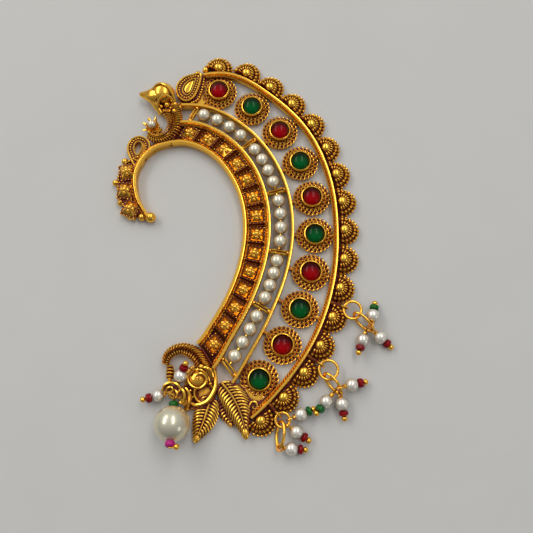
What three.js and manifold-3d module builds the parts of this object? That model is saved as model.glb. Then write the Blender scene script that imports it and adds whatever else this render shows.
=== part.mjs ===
// Bridal ear cuff of cast gilt metal, lying on its back, in millimetres with +Z up.
// Four rails run as arcs about one hub. Between them sit a band of stepped squares, a channel of
// strung pearls and a row of rosettes with cabochons. A hook at the left goes over the ear.
import * as THREE from "three";
import { mergeVertices } from "three/addons/utils/BufferGeometryUtils.js";
import Module from "manifold-3d";

const wasm = await Module();
wasm.setup();

// The middle of the whole cuff, drops included, which is set at the origin.
const MIDDLE = { x: -4.0, y: 5.5 };

// The rails: radius of each rail about the hub, every 15 degrees from -60 to 75.
const HUB = { x: -31, y: 8 };
const FIRST_ANGLE = -60;
const LAST_ANGLE = 75;
const RAIL_RADII = {
  a: [30.4, 28.2, 26.9, 26.3, 26.2, 26.3, 26.2, 25.8, 24.2, 20.8],
  b: [36.7, 33.5, 32.0, 31.5, 31.6, 31.8, 31.8, 31.2, 29.7, 26.6],
  c: [42.1, 38.8, 37.0, 36.6, 36.8, 36.9, 36.6, 35.8, 34.4, 31.4],
  d: [49.4, 48.4, 47.8, 47.1, 46.7, 47.0, 47.0, 45.8, 44.3, 38.3],
};
const RAIL_ENDS = {
  a: { from: -57, to: 66 },
  b: { from: -57, to: 68 },
  c: { from: -54.5, to: 70 },
  d: { from: -55.5, to: 67 },
};
const RAIL = { width: 0.8, height: 2.4, steps: 16 };

// The hook: its inner edge, and the outer edge of its plate from the tip back to the bird.
const HOOK_INNER = [
  [-21.1, 28.7], [-24.7, 27.7], [-27.1, 25.9], [-28.8, 23.2], [-29.5, 20.0], [-28.6, 15.4], [-26.2, 11.3],
];
const HOOK_OUTER = [
  [-30.4, 12.0], [-32.8, 14.2], [-33.9, 17.6], [-33.9, 21.0], [-32.8, 23.6], [-31.0, 24.9], [-28.7, 26.0],
  [-26.9, 27.6], [-25.0, 29.7],
];
const HOOK = { height: 1.3, steps: 9 };
const HOOK_MIDDLE = { x: -20.5, y: 20.0 };
const HOOK_SQUARES = [
  { x: -31.6, y: 21.6, turn: 14 },
  { x: -31.8, y: 17.2, turn: -6 },
  { x: -30.4, y: 12.9, turn: -24 },
];
const HOOK_BALLS = [
  { x: -32.6, y: 24.6, r: 0.8 },
  { x: -34.4, y: 19.4, r: 0.8 },
  { x: -33.0, y: 14.6, r: 0.8 },
  { x: -30.6, y: 11.4, r: 0.9 },
  { x: -28.0, y: 11.2, r: 0.9 },
  { x: -26.0, y: 11.0, r: 1.2 },
];

// Things that follow one another along a band: angle = start + i * step + i * i * drift.
const GEMS = { count: 10, start: 59.8, step: -12.6, drift: 0.07 };
const SQUARES = { count: 14, start: 60.5, step: -9.3, drift: 0.05 };
const SCALLOPS = { count: 16, start: 63.9, step: -8.15, drift: 0.0195 };

// Plates and struts between the rails start a little above the floor that the rails lie on.
const CLEAR = 0.1;
const FLOOR_HEIGHT = 0.8;
const SQUARE = { side: 3.9, top: 1.5, apex: 2.5, draft: 0.92, peakFoot: 0.68, peakTop: 0.12, sunk: 0.2 };
const ROSETTE = { radius: 4.35, under: 0.4, edge: 1.1, top: 1.5, sides: 10 };
const COLLET = { outer: 2.6, inner: 2.15, seat: 1.5, rim: 2.6 };
const STONE = { radius: 1.9, girdle: 0.6, height: 1.75, lift: 0.1, sides: 12 };
const STRUT = { width: 0.9, height: 1.0 };
const SCALLOP = { halfWidth: 3.25, reach: 3.75, height: 2.5, setback: 1.0, ledge: 0.8, lap: 0.4 };

// The pearl channel: a bar at each angle, and one string of pearls from bar to bar.
const BAR_ANGLES = [63.6, 37.6, 15.2, -8.6, -30.2, -52.6];
const BAR = { width: 0.9, under: 0.5, top: 2.0 };
const STRING = { pearls: 4, radius: 1.45, share: 0.222, height: 1.95, wire: 0.3, gap: 0.3 };

// The two paisleys, the hole through the lower one, and the balls beside the upper one.
const PAISLEY_STEPS = 14;
const LOW_PAISLEY = {
  outline: [
    [-29.5, 22.6], [-31.6, 25.7], [-32.1, 28.0], [-31.2, 29.9], [-29.4, 30.6], [-27.6, 29.9], [-26.8, 28.5],
    [-27.2, 26.3],
  ],
  hole: [[-29.7, 26.2], [-30.4, 27.2], [-30.3, 28.5], [-29.7, 29.2], [-28.9, 28.7], [-28.9, 27.4]],
  height: 1.7,
};
const HIGH_PAISLEY = {
  outline: [
    [-15.5, 46.7], [-17.7, 46.4], [-19.8, 45.6], [-21.1, 44.0], [-21.4, 42.2], [-20.7, 40.4], [-19.0, 39.4],
    [-17.4, 40.1], [-16.4, 41.8], [-15.7, 44.2],
  ],
  height: 2.0,
};
const TOP_BALLS = [
  { x: -16.4, y: 46.9, r: 0.85 },
  { x: -14.5, y: 48.0, r: 0.85 },
];

// The upper bird, from its head down its ribbed neck to the curl under the cup.
const HEAD = { x: -24.2, y: 40.1, z: 2.3, rx: 2.75, ry: 3.35, rz: 2.2 };
const BEAK = [[-25.0, 40.7, 2.3], [-27.6, 41.1, 2.1], [-29.8, 41.2, 1.8]];
const NECK = [
  [-22.6, 37.6, 1.5], [-21.6, 35.8, 1.4], [-21.4, 33.6, 1.4], [-22.0, 31.6, 1.3], [-23.6, 30.2, 1.2],
  [-25.6, 30.2, 1.1], [-27.3, 31.2, 1.0],
];
const BEAK_SIZE = { width: 4.9, height: 3.9, tip: 0.7 };
const NECK_SIZE = { width: 3.5, height: 2.6, tip: 1.2 };
const CUP = { x: -26.4, y: 33.0, r: 1.5, foot: 0.9, top: 1.6 };
const SPIKE = { count: 5, from: 75, to: 245, root: 0.75, rootZ: 1.0, tip: 2.6, tipZ: 1.8 };
const SPIKE_SIZE = { width: 1.1, height: 0.9, tip: 0.2 };
const CUP_STEM = [[-24.6, 32.8, 0.9], [-25.6, 31.4, 0.9], [-26.4, 30.6, 0.9]];
const CUP_STEM_SIZE = { width: 0.9, height: 1.2 };
const CROWN_PEARL = { r: 0.95, lift: 0.2 };
const SHOULDER = [
  [-21.8, 38.6], [-18.2, 38.6], [-15.9, 38.3], [-13.9, 39.8], [-13.3, 43.5], [-13.2, 46.6], [-15.6, 47.2],
  [-17.2, 44.0], [-19.0, 40.5],
];
const SHOULDER_HEIGHT = 1.0;

// The lower bird: ribbed arch, head with a scroll, hollow round body, cup and scroll leaf.
const ARCH = [
  [-21.4, -21.6, 0.9], [-20.9, -19.7, 1.1], [-19.2, -18.4, 1.2], [-17.0, -18.2, 1.2], [-14.9, -19.2, 1.2],
  [-13.5, -21.4, 1.2],
];
const ARCH_SIZE = { width: 2.4, height: 2.3, tipWidth: 1.1, tipHeight: 1.75 };
const BODY_PLATE = [
  [-16.7, -22.9], [-15.4, -21.6], [-12.2, -20.4], [-10.6, -22.6], [-10.4, -26.6], [-10.9, -29.2],
  [-13.6, -30.7], [-16.8, -30.9], [-18.1, -28.9], [-17.4, -26.0],
];
const BODY_PLATE_HEIGHT = 1.2;
const LOW_HEAD = { x: -14.5, y: -24.9, z: 1.9, rx: 2.2, ry: 2.1, rz: 1.7 };
const BODY_RING = { x: -13.7, y: -28.1, r: 2.1, wire: 0.5, z: 1.6, wallR: 2.4, hollowR: 1.9, hollowZ: 0.7 };
const LOW_BALL = { x: -13.5, y: -22.1, z: 2.4, r: 0.7 };
const LOW_CUP = [[-21.0, -21.4, 0.9], [-20.4, -22.8, 1.0], [-20.4, -24.6, 1.4], [-20.3, -26.4, 2.8]];
const LOW_CUP_SIZE = { width: 1.9, height: 1.8, endWidth: 0.8, endHeight: 1.2 };
const SCROLL_LEAF = [
  [-21.8, -26.9], [-20.9, -25.8], [-19.2, -26.1], [-17.4, -26.2], [-16.6, -27.8], [-18.2, -28.6],
  [-20.0, -27.7],
];
const SCROLL_LEAF_Z = { under: 2.5, top: 3.3 };
const LEAF_PROP = [[-17.4, -26.2], [-16.2, -26.4], [-16.0, -27.6], [-17.2, -27.9]];

// Leaves: base, tip, how far the midrib bows to the side, full width and count of teeth.
const LEAVES = [
  { x: -11.6, y: -28.2, tipX: -14.8, tipY: -37.4, bow: 0.3, width: 4.9, teeth: 6, top: 1.5 },
  { x: -9.6, y: -25.2, tipX: -4.2, tipY: -36.8, bow: 1.2, width: 5.0, teeth: 7, top: 1.7 },
  { x: -9.2, y: -28.4, tipX: -7.2, tipY: -34.4, bow: 0.0, width: 3.6, teeth: 3, top: 1.0 },
];
const LEAF_EDGE = { start: 0.12, lean: 0.85, fullness: 0.8, notch: 0.86 };
const MIDRIB = { shares: [0.02, 0.35, 0.7, 0.97], width: 0.7, tip: 0.3, rise: 0.35 };
const END_PLATE = [[-6.2, -25.4], [-4.6, -28.4], [-3.7, -32.4], [-2.2, -31.4], [0.6, -28.6], [-1.6, -27.4]];
const END_PLATE_HEIGHT = 1.2;
const END_CURL = { x: -2.6, y: -30.0, r: 0.75, wire: 0.3, z: 1.3 };

// Drops on jump rings. Each right-hand ring hangs in an eye between two scallops.
const EYE = { r: 0.8, wire: 0.26, z: 1.65, armWidth: 0.7, armHeight: 0.9, armSunk: 0.2 };
const RING_WIRE = 0.25;
const LINK = { halfHeight: 1.3, z: 1.8, tilt: 56 };
const CLUSTERS = [
  { angle: -20.0, eye: 50.8, ring: 1.9, link: [18.9, -10.7, 22.5, -14.4] },
  { angle: -34.9, eye: 51.7, ring: 2.0, link: [12.3, -23.5, 15.4, -27.4] },
  { angle: -50.0, eye: 51.9, ring: 1.5, link: [3.1, -33.1, 2.6, -38.4] },
];
const LEFT_RING = { x: -19.3, y: -27.4, z: 1.1, r: 1.05 };
const LEFT_EYE_ARM = [-17.5, -27.4];
const PIN = { wire: 0.18, loop: 0.68, loopWire: 0.17, ball: 0.62 };
const DROP_PEARL = { hole: 0.42, sides: 10, fewestRows: 4 };

// One row for each drop: what it hangs on, where on that wire, its pearl, and how far the pin's
// ball lies beyond the pearl's middle.
const DROPS = [
  { on: "link_1", at: 52, x: 22.8, y: -11.2, z: 1.9, r: 1.4, tail: 3.0 },
  { on: "link_1", at: 4, x: 24.3, y: -15.9, z: 1.4, r: 1.4, tail: 3.1 },
  { on: "link_1", at: -52, x: 20.5, y: -16.4, z: 1.5, r: 1.4, tail: 3.0 },
  { on: "link_2", at: 52, x: 17.8, y: -25.8, z: 1.9, r: 1.4, tail: 3.2 },
  { on: "link_2", at: -8, x: 15.7, y: -29.7, z: 1.4, r: 1.4, tail: 3.0 },
  { on: "link_2", at: -52, x: 12.4, y: -29.2, z: 1.5, r: 1.4, tail: 3.2 },
  { on: "jump_ring_3", at: 8, x: 7.1, y: -31.8, z: 1.4, r: 1.4, tail: 2.9 },
  { on: "jump_ring_3", at: -48, x: 6.2, y: -35.3, z: 1.4, r: 1.4, tail: 3.0 },
  { on: "link_3", at: 8, x: 5.1, y: -38.6, z: 1.5, r: 1.4, tail: 2.9 },
  { on: "jump_ring_4", at: 270, x: -19.2, y: -33.6, z: 3.7, r: 3.65, tail: 4.9, kink: [1.3, 0.1, -0.2] },
  { on: "jump_ring_4", at: 75, x: -17.9, y: -24.0, z: 2.5, r: 1.45, tail: 3.1 },
  { on: "jump_ring_4", at: 180, x: -22.6, y: -28.0, z: 1.4, r: 1.3, tail: 3.2 },
];

const radians = THREE.MathUtils.degToRad;

// Turns a closed three.js geometry into a solid that can be joined and cut.
function solid(geometry) {
  const bare = geometry.index ? geometry.toNonIndexed() : geometry.clone();
  bare.deleteAttribute("normal");
  bare.deleteAttribute("uv");
  const merged = mergeVertices(bare, 1e-4);
  return new wasm.Manifold(
    new wasm.Mesh({
      numProp: 3,
      vertProperties: new Float32Array(merged.attributes.position.array),
      triVerts: new Uint32Array(merged.index.array),
    }),
  );
}

function geometryOf(made) {
  const mesh = made.getMesh();
  const geometry = new THREE.BufferGeometry();
  geometry.setAttribute("position", new THREE.BufferAttribute(mesh.vertProperties, mesh.numProp));
  geometry.setIndex(new THREE.BufferAttribute(mesh.triVerts, 1));
  geometry.computeVertexNormals();
  return geometry;
}

// Joins solids into one and drops the slivers that crossing surfaces leave.
const FINEST = 0.03;
const join = (solids) => solids.reduce((all, one) => all.add(one)).simplify(FINEST);

// Where a polar place about the hub lies in the plan.
function polar(angle, radius) {
  const turn = radians(angle);
  return [HUB.x + radius * Math.cos(turn), HUB.y + radius * Math.sin(turn)];
}

const railCurves = Object.fromEntries(
  Object.entries(RAIL_RADII).map(([name, radii]) => [
    name,
    new THREE.SplineCurve(radii.map((radius, i) => new THREE.Vector2(i, radius))),
  ]),
);

function railRadius(name, angle) {
  return railCurves[name].getPoint((angle - FIRST_ANGLE) / (LAST_ANGLE - FIRST_ANGLE)).y;
}

const alongBand = (row, i) => row.start + i * row.step + i * i * row.drift;

function prism(points, low, high) {
  const shape = new THREE.Shape(points.map(([x, y]) => new THREE.Vector2(x, y)));
  const geometry = new THREE.ExtrudeGeometry(shape, { depth: high - low, bevelEnabled: false, steps: 1 });
  return solid(geometry.translate(0, 0, low));
}

// A flat arc between two radii that may change with the angle.
function arcPlate({ inner, outer, from, to, low, high, steps }) {
  const angles = Array.from({ length: steps + 1 }, (_, i) => from + ((to - from) * i) / steps);
  const near = angles.map((angle) => polar(angle, inner(angle)));
  const far = angles.map((angle) => polar(angle, outer(angle)));
  return prism([...near, ...far.reverse()], low, high);
}

// A plate between two open lines in the plan, each smoothed into a curve.
function ribbon(line, otherLine, low, high, steps) {
  const smooth = (points) => new THREE.SplineCurve(points.map((p) => new THREE.Vector2(...p)))
    .getPoints(steps)
    .map((p) => [p.x, p.y]);
  return prism([...smooth(line), ...smooth(otherLine)], low, high);
}

function ellipsoid({ x, y, z, rx, ry, rz, sides = 10, rows = 6 }) {
  const geometry = new THREE.SphereGeometry(1, sides, rows).rotateX(Math.PI / 2);
  return solid(geometry.scale(rx, ry, rz).translate(x, y, z));
}

const ball = ({ x, y, z, r }) => ellipsoid({ x, y, z, rx: r, ry: r, rz: r, rows: 4 });

const granule = ({ x, y, r }) => ellipsoid({ x, y, z: r, rx: r, ry: r, rz: r, sides: 8, rows: 3 });

// A round bar bent along a curve, with a width and a height that may change along it.
function sweep(points, { width, height, sides = 8, steps = 8 }) {
  const path = new THREE.CatmullRomCurve3(points.map((p) => new THREE.Vector3(...p)));
  const geometry = new THREE.CylinderGeometry(1, 1, 1, sides, steps);
  const place = geometry.attributes.position;
  const section = new THREE.Vector3();
  for (let i = 0; i < place.count; i++) {
    section.fromBufferAttribute(place, i);
    const share = section.y + 0.5;
    const along = path.getTangentAt(share);
    const side = new THREE.Vector3(along.y, -along.x, 0).normalize();
    const up = new THREE.Vector3().crossVectors(side, along);
    const point = path
      .getPointAt(share)
      .addScaledVector(side, (section.x * width(share)) / 2)
      .addScaledVector(up, (section.z * height(share)) / 2);
    place.setXYZ(i, point.x, point.y, point.z);
  }
  return solid(geometry);
}

const taper = (start, end) => (share) => start + (end - start) * share;
const swell = (ends, middle) => (share) => ends + (middle - ends) * Math.sin(Math.PI * share);

// A closed wire loop: half-lengths along its two axes, and the wire's radius.
function loopGeometry(long, short, wire) {
  const geometry = new THREE.TorusGeometry(1, wire, 5, 10);
  const place = geometry.attributes.position;
  for (let i = 0; i < place.count; i++) {
    const turn = Math.atan2(place.getY(i), place.getX(i));
    const out = Math.hypot(place.getX(i), place.getY(i)) - 1;
    place.setXY(i, (long + out) * Math.cos(turn), (short + out) * Math.sin(turn));
  }
  return geometry;
}

function rail(name) {
  return arcPlate({
    inner: (angle) => railRadius(name, angle) - RAIL.width / 2,
    outer: (angle) => railRadius(name, angle) + RAIL.width / 2,
    ...RAIL_ENDS[name],
    low: 0,
    high: RAIL.height,
    steps: RAIL.steps,
  });
}

// The floor under the stepped squares, and the ledge that carries the scallops.
function floors() {
  const band = arcPlate({
    inner: (angle) => railRadius("a", angle),
    outer: (angle) => railRadius("b", angle),
    ...RAIL_ENDS.a,
    low: 0,
    high: FLOOR_HEIGHT,
    steps: RAIL.steps,
  });
  const ledge = arcPlate({
    inner: (angle) => railRadius("d", angle),
    outer: (angle) => railRadius("d", angle) + SCALLOP.setback + SCALLOP.lap,
    ...RAIL_ENDS.d,
    low: 0,
    high: SCALLOP.ledge,
    steps: RAIL.steps,
  });
  return [band, ledge];
}

function steppedSquare(x, y, turn) {
  const half = SQUARE.side / Math.SQRT2;
  const step = (topShare, footShare, low, high) =>
    new THREE.CylinderGeometry(half * topShare, half * footShare, high - low, 4)
      .translate(0, (low + high) / 2, 0);
  return [
    step(SQUARE.draft, 1, FLOOR_HEIGHT - SQUARE.sunk, SQUARE.top),
    step(SQUARE.peakTop, SQUARE.peakFoot, SQUARE.top - SQUARE.sunk, SQUARE.apex),
  ].map((shape) =>
    solid(shape.rotateY(Math.PI / 4).rotateX(Math.PI / 2).rotateZ(radians(turn)).translate(x, y, 0)));
}

function squares() {
  return Array.from({ length: SQUARES.count }, (_, i) => {
    const angle = alongBand(SQUARES, i);
    const [x, y] = polar(angle, (railRadius("a", angle) + railRadius("b", angle)) / 2);
    return steppedSquare(x, y, angle);
  }).flat();
}

function gemPlace(i) {
  const angle = alongBand(GEMS, i);
  const [x, y] = polar(angle, (railRadius("c", angle) + railRadius("d", angle)) / 2);
  return { x, y, angle };
}

// A filigree disc with a collet on it, as one turned shape, on a strut from rail to rail.
function rosette(i) {
  const { x, y, angle } = gemPlace(i);
  const profile = [
    [0, ROSETTE.under],
    [ROSETTE.radius, ROSETTE.under],
    [ROSETTE.radius, ROSETTE.edge],
    [COLLET.outer, ROSETTE.top],
    [COLLET.outer, COLLET.rim],
    [COLLET.inner, COLLET.rim],
    [COLLET.inner, COLLET.seat],
    [0, COLLET.seat],
  ].map(([radius, z]) => new THREE.Vector2(radius, z));
  const disc = new THREE.LatheGeometry(profile, ROSETTE.sides).rotateX(Math.PI / 2);
  const strut = arcPlate({
    inner: () => railRadius("c", angle),
    outer: () => railRadius("d", angle),
    from: angle - THREE.MathUtils.radToDeg(STRUT.width / 2 / railRadius("c", angle)),
    to: angle + THREE.MathUtils.radToDeg(STRUT.width / 2 / railRadius("c", angle)),
    low: CLEAR,
    high: STRUT.height,
    steps: 1,
  });
  return solid(disc.translate(x, y, 0)).add(strut);
}

// Half of a flattened dome, its flat side to the rail.
function scallop(i) {
  const angle = alongBand(SCALLOPS, i);
  const turn = radians(angle);
  const [x, y] = polar(angle, railRadius("d", angle) + SCALLOP.setback);
  const dome = new THREE.SphereGeometry(1, 10, 6)
    .rotateX(Math.PI / 2)
    .scale(SCALLOP.reach, SCALLOP.halfWidth, SCALLOP.height)
    .rotateZ(turn)
    .translate(x, y, 0);
  const out = [Math.cos(turn), Math.sin(turn), 0];
  return solid(dome)
    .trimByPlane(out, out[0] * x + out[1] * y)
    .trimByPlane([0, 0, 1], 0);
}

function bar(angle) {
  const half = THREE.MathUtils.radToDeg(BAR.width / 2 / railRadius("b", angle));
  return arcPlate({
    inner: () => railRadius("b", angle),
    outer: () => railRadius("c", angle),
    from: angle - half,
    to: angle + half,
    low: BAR.under,
    high: BAR.top,
    steps: 1,
  });
}

function hook() {
  const plate = ribbon(HOOK_INNER, HOOK_OUTER, 0, HOOK.height, HOOK.steps);
  const inset = HOOK_INNER.map(([x, y]) => {
    const reach = Math.hypot(x - HOOK_MIDDLE.x, y - HOOK_MIDDLE.y);
    const grow = (reach + RAIL.width) / reach;
    return [HOOK_MIDDLE.x + (x - HOOK_MIDDLE.x) * grow, HOOK_MIDDLE.y + (y - HOOK_MIDDLE.y) * grow];
  });
  const rim = ribbon(HOOK_INNER, inset.reverse(), 0, RAIL.height, HOOK.steps);
  const set = HOOK_SQUARES.flatMap(({ x, y, turn }) => steppedSquare(x, y, turn));
  const beads = HOOK_BALLS.map(granule);
  return [plate, rim, ...set, ...beads];
}

// A drop-shaped plate, with or without a hole through it.
function paisley({ outline, hole, height }) {
  const rounded = (points) => {
    const curve = new THREE.CatmullRomCurve3(points.map(([x, y]) => new THREE.Vector3(x, y, 0)), true);
    return curve.getPoints(PAISLEY_STEPS).slice(1).map(({ x, y }) => [x, y]);
  };
  const plate = prism(rounded(outline), CLEAR, height);
  return hole ? plate.subtract(prism(rounded(hole), 0, height + CLEAR)) : plate;
}

function cup() {
  const wall = new THREE.CylinderGeometry(CUP.r, CUP.foot, CUP.top, 10)
    .rotateX(Math.PI / 2)
    .translate(CUP.x, CUP.y, CUP.top / 2);
  const spikes = Array.from({ length: SPIKE.count }, (_, i) => {
    const turn = radians(SPIKE.from + ((SPIKE.to - SPIKE.from) * i) / (SPIKE.count - 1));
    const out = (length, z) => [CUP.x + length * Math.cos(turn), CUP.y + length * Math.sin(turn), z];
    return sweep([out(SPIKE.root, SPIKE.rootZ), out(SPIKE.tip, SPIKE.tipZ)], {
      width: taper(SPIKE_SIZE.width, SPIKE_SIZE.tip),
      height: taper(SPIKE_SIZE.height, SPIKE_SIZE.tip),
      sides: 4,
      steps: 1,
    });
  });
  const stem = sweep(CUP_STEM, {
    width: () => CUP_STEM_SIZE.width,
    height: () => CUP_STEM_SIZE.height,
    sides: 6,
    steps: 3,
  });
  return [solid(wall), stem, ...spikes];
}

function upperBird() {
  const neck = sweep(NECK, {
    width: taper(NECK_SIZE.width, NECK_SIZE.tip),
    height: taper(NECK_SIZE.height, NECK_SIZE.tip),
    steps: 9,
  });
  const beak = sweep(BEAK, {
    width: taper(BEAK_SIZE.width, BEAK_SIZE.tip),
    height: taper(BEAK_SIZE.height, BEAK_SIZE.tip),
    steps: 2,
  });
  const head = ellipsoid(HEAD);
  const shoulder = prism(SHOULDER, 0, SHOULDER_HEIGHT);
  const paisleys = [LOW_PAISLEY, HIGH_PAISLEY].map(paisley);
  const beads = TOP_BALLS.map(granule);
  return [neck, beak, head, shoulder, ...cup(), ...paisleys, ...beads];
}

function lowerBird() {
  const arch = sweep(ARCH, {
    width: taper(ARCH_SIZE.tipWidth, ARCH_SIZE.width),
    height: taper(ARCH_SIZE.tipHeight, ARCH_SIZE.height),
    steps: 9,
  });
  const plate = prism(BODY_PLATE, 0, BODY_PLATE_HEIGHT);
  const ring = new THREE.TorusGeometry(BODY_RING.r, BODY_RING.wire, 5, 12);
  const drum = (radius, low, high) =>
    solid(new THREE.CylinderGeometry(radius, radius, high - low, 12).rotateX(Math.PI / 2)
      .translate(BODY_RING.x, BODY_RING.y, (low + high) / 2));
  const stalk = sweep(LOW_CUP, {
    width: swell(LOW_CUP_SIZE.endWidth, LOW_CUP_SIZE.width),
    height: swell(LOW_CUP_SIZE.endHeight, LOW_CUP_SIZE.height),
    sides: 6,
    steps: 5,
  });
  const leaf = prism(SCROLL_LEAF, SCROLL_LEAF_Z.under, SCROLL_LEAF_Z.top);
  const prop = prism(LEAF_PROP, 0, SCROLL_LEAF_Z.top);
  const body = plate
    .add(drum(BODY_RING.wallR, 0, BODY_RING.z))
    .subtract(drum(BODY_RING.hollowR, BODY_RING.hollowZ, SCROLL_LEAF_Z.top));
  return [
    arch,
    body,
    solid(ring.translate(BODY_RING.x, BODY_RING.y, BODY_RING.z)),
    ellipsoid(LOW_HEAD),
    ball(LOW_BALL),
    stalk,
    leaf,
    prop,
  ];
}

// A serrated leaf with a raised midrib.
function leaf({ x, y, tipX, tipY, bow, width, teeth, top }) {
  const length = Math.hypot(tipX - x, tipY - y);
  const side = [-(tipY - y) / length, (tipX - x) / length];
  const midrib = (share) => {
    const off = 4 * bow * share * (1 - share);
    return [x + (tipX - x) * share + side[0] * off, y + (tipY - y) * share + side[1] * off];
  };
  const halfWidth = (share) => {
    const along = LEAF_EDGE.start + (1 - LEAF_EDGE.start) * share ** LEAF_EDGE.lean;
    return (width / 2) * Math.sin(Math.PI * along) ** LEAF_EDGE.fullness;
  };
  const edge = (sign) => Array.from({ length: 2 * teeth - 1 }, (_, i) => {
    const share = (i + 0.5) / (2 * teeth);
    const out = sign * halfWidth(share) * (i % 2 ? LEAF_EDGE.notch : 1);
    const [cx, cy] = midrib(share);
    return [cx + side[0] * out, cy + side[1] * out];
  });
  const blade = prism([...edge(1), midrib(1), ...edge(-1).reverse()], CLEAR, top);
  const rib = sweep(MIDRIB.shares.map((share) => [...midrib(share), top]), {
    width: taper(MIDRIB.width, MIDRIB.tip),
    height: () => 2 * MIDRIB.rise,
    sides: 4,
    steps: 3,
  });
  return [blade, rib];
}

function endPlate() {
  const curl = new THREE.TorusGeometry(END_CURL.r, END_CURL.wire, 5, 10);
  return [
    prism(END_PLATE, CLEAR, END_PLATE_HEIGHT),
    solid(curl.translate(END_CURL.x, END_CURL.y, END_CURL.z)),
  ];
}

// An upright eye for a jump ring, on an arm from the metal behind it. The ring runs along `facing`.
function eye(x, y, z, facing, armFrom) {
  const hoop = new THREE.TorusGeometry(EYE.r, EYE.wire, 4, 9)
    .rotateX(Math.PI / 2)
    .rotateZ(radians(facing - 90))
    .translate(x, y, z);
  const reach = Math.hypot(x - armFrom[0], y - armFrom[1]);
  const towards = [(x - armFrom[0]) / reach, (y - armFrom[1]) / reach];
  const end = reach - EYE.r;
  const path = [0, end].map((far) => [armFrom[0] + towards[0] * far, armFrom[1] + towards[1] * far, z]);
  const arm = sweep(path, {
    width: () => EYE.armWidth,
    height: () => EYE.armHeight,
    sides: 6,
    steps: 1,
  });
  return [solid(hoop), arm];
}

function eyes() {
  const right = CLUSTERS.flatMap((cluster) => {
    const [x, y] = polar(cluster.angle, cluster.eye);
    const from = polar(cluster.angle, railRadius("d", cluster.angle) + EYE.armSunk);
    return eye(x, y, EYE.z, cluster.angle + 90, from);
  });
  return [...right, ...eye(LEFT_RING.x + LEFT_RING.r, LEFT_RING.y, LEFT_RING.z, 90, LEFT_EYE_ARM)];
}

function cuffFrame() {
  return join([
    ...Object.keys(RAIL_RADII).map(rail),
    ...floors(),
    ...squares(),
    ...BAR_ANGLES.map(bar),
    ...Array.from({ length: GEMS.count }, (_, i) => rosette(i)),
    ...Array.from({ length: SCALLOPS.count }, (_, i) => scallop(i)),
    ...hook(),
    ...upperBird(),
    ...lowerBird(),
    ...LEAVES.flatMap(leaf),
    ...endPlate(),
    ...eyes(),
  ]);
}

function cabochonGeometry() {
  const dome = [0.35, 0.7].map((share) => {
    const turn = (share * Math.PI) / 2;
    const rise = (STONE.height - STONE.girdle) * Math.sin(turn);
    return [STONE.radius * Math.cos(turn), STONE.girdle + rise];
  });
  const profile = [[0, 0], [STONE.radius, 0], [STONE.radius, STONE.girdle], ...dome, [0, STONE.height]];
  const points = profile.map(([radius, z]) => new THREE.Vector2(radius, z));
  return new THREE.LatheGeometry(points, STONE.sides).rotateX(Math.PI / 2);
}

// Four pearls fused on the wire that runs from one bar to the next.
function pearlString(i) {
  const [from, to] = [BAR_ANGLES[i], BAR_ANGLES[i + 1]];
  const place = (angle) => {
    const radius = (railRadius("b", angle) + railRadius("c", angle)) / 2;
    return [...polar(angle, radius), STRING.height];
  };
  const inset = THREE.MathUtils.radToDeg((BAR.width / 2 + STRING.gap) / railRadius("b", from));
  const ends = [from - inset, (from + to) / 2, to + inset].map(place);
  const thickness = () => STRING.wire * 2;
  const wire = sweep(ends, { width: thickness, height: thickness, sides: 4, steps: 2 });
  const pearls = Array.from({ length: STRING.pearls }, (_, j) => {
    const off = (j - (STRING.pearls - 1) / 2) * STRING.share;
    const [x, y, z] = place((from + to) / 2 + off * (to - from));
    return ball({ x, y, z, r: STRING.radius });
  });
  return join([wire, ...pearls]);
}

// The rings and links that drops hang on: centre, two axes, and the half-length along each.
function flatRing(x, y, z, radius) {
  return {
    centre: new THREE.Vector3(x, y, z),
    long: new THREE.Vector3(1, 0, 0),
    short: new THREE.Vector3(0, 1, 0),
    halfLong: radius,
    halfShort: radius,
  };
}

// A long link is turned about its own length, so that it stands nearly on edge.
function tiltedLink({ link: [x, y, endX, endY] }) {
  const start = new THREE.Vector3(x, y, LINK.z);
  const end = new THREE.Vector3(endX, endY, LINK.z);
  const long = end.clone().sub(start).normalize();
  const short = new THREE.Vector3(-long.y, long.x, 0).multiplyScalar(Math.cos(radians(LINK.tilt)));
  short.z = Math.sin(radians(LINK.tilt));
  return {
    centre: start.clone().add(end).multiplyScalar(0.5),
    long,
    short,
    halfLong: start.distanceTo(end) / 2,
    halfShort: LINK.halfHeight,
  };
}

const holders = Object.fromEntries([
  ...CLUSTERS.flatMap((cluster, i) => {
    const [x, y] = polar(cluster.angle, cluster.eye + cluster.ring);
    return [
      [`jump_ring_${i + 1}`, flatRing(x, y, EYE.z, cluster.ring)],
      [`link_${i + 1}`, tiltedLink(cluster)],
    ];
  }),
  ["jump_ring_4", flatRing(LEFT_RING.x, LEFT_RING.y, LEFT_RING.z, LEFT_RING.r)],
]);

// The point on a holder's wire at a turn from its far end, and the wire's direction there.
function wireAt({ centre, long, short, halfLong, halfShort }, at) {
  const turn = radians(at);
  const point = centre
    .clone()
    .addScaledVector(long, halfLong * Math.cos(turn))
    .addScaledVector(short, halfShort * Math.sin(turn));
  const along = new THREE.Vector3()
    .addScaledVector(long, -halfLong * Math.sin(turn))
    .addScaledVector(short, halfShort * Math.cos(turn))
    .normalize();
  return { point, along };
}

// Where a drop hangs, its pearl's middle, and the direction of its pin from the one to the other.
function dropLine(drop) {
  const { point, along } = wireAt(holders[drop.on], drop.at);
  const pearl = new THREE.Vector3(drop.x, drop.y, drop.z);
  return { start: point, along, pearl, aim: pearl.clone().sub(point).normalize() };
}

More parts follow.
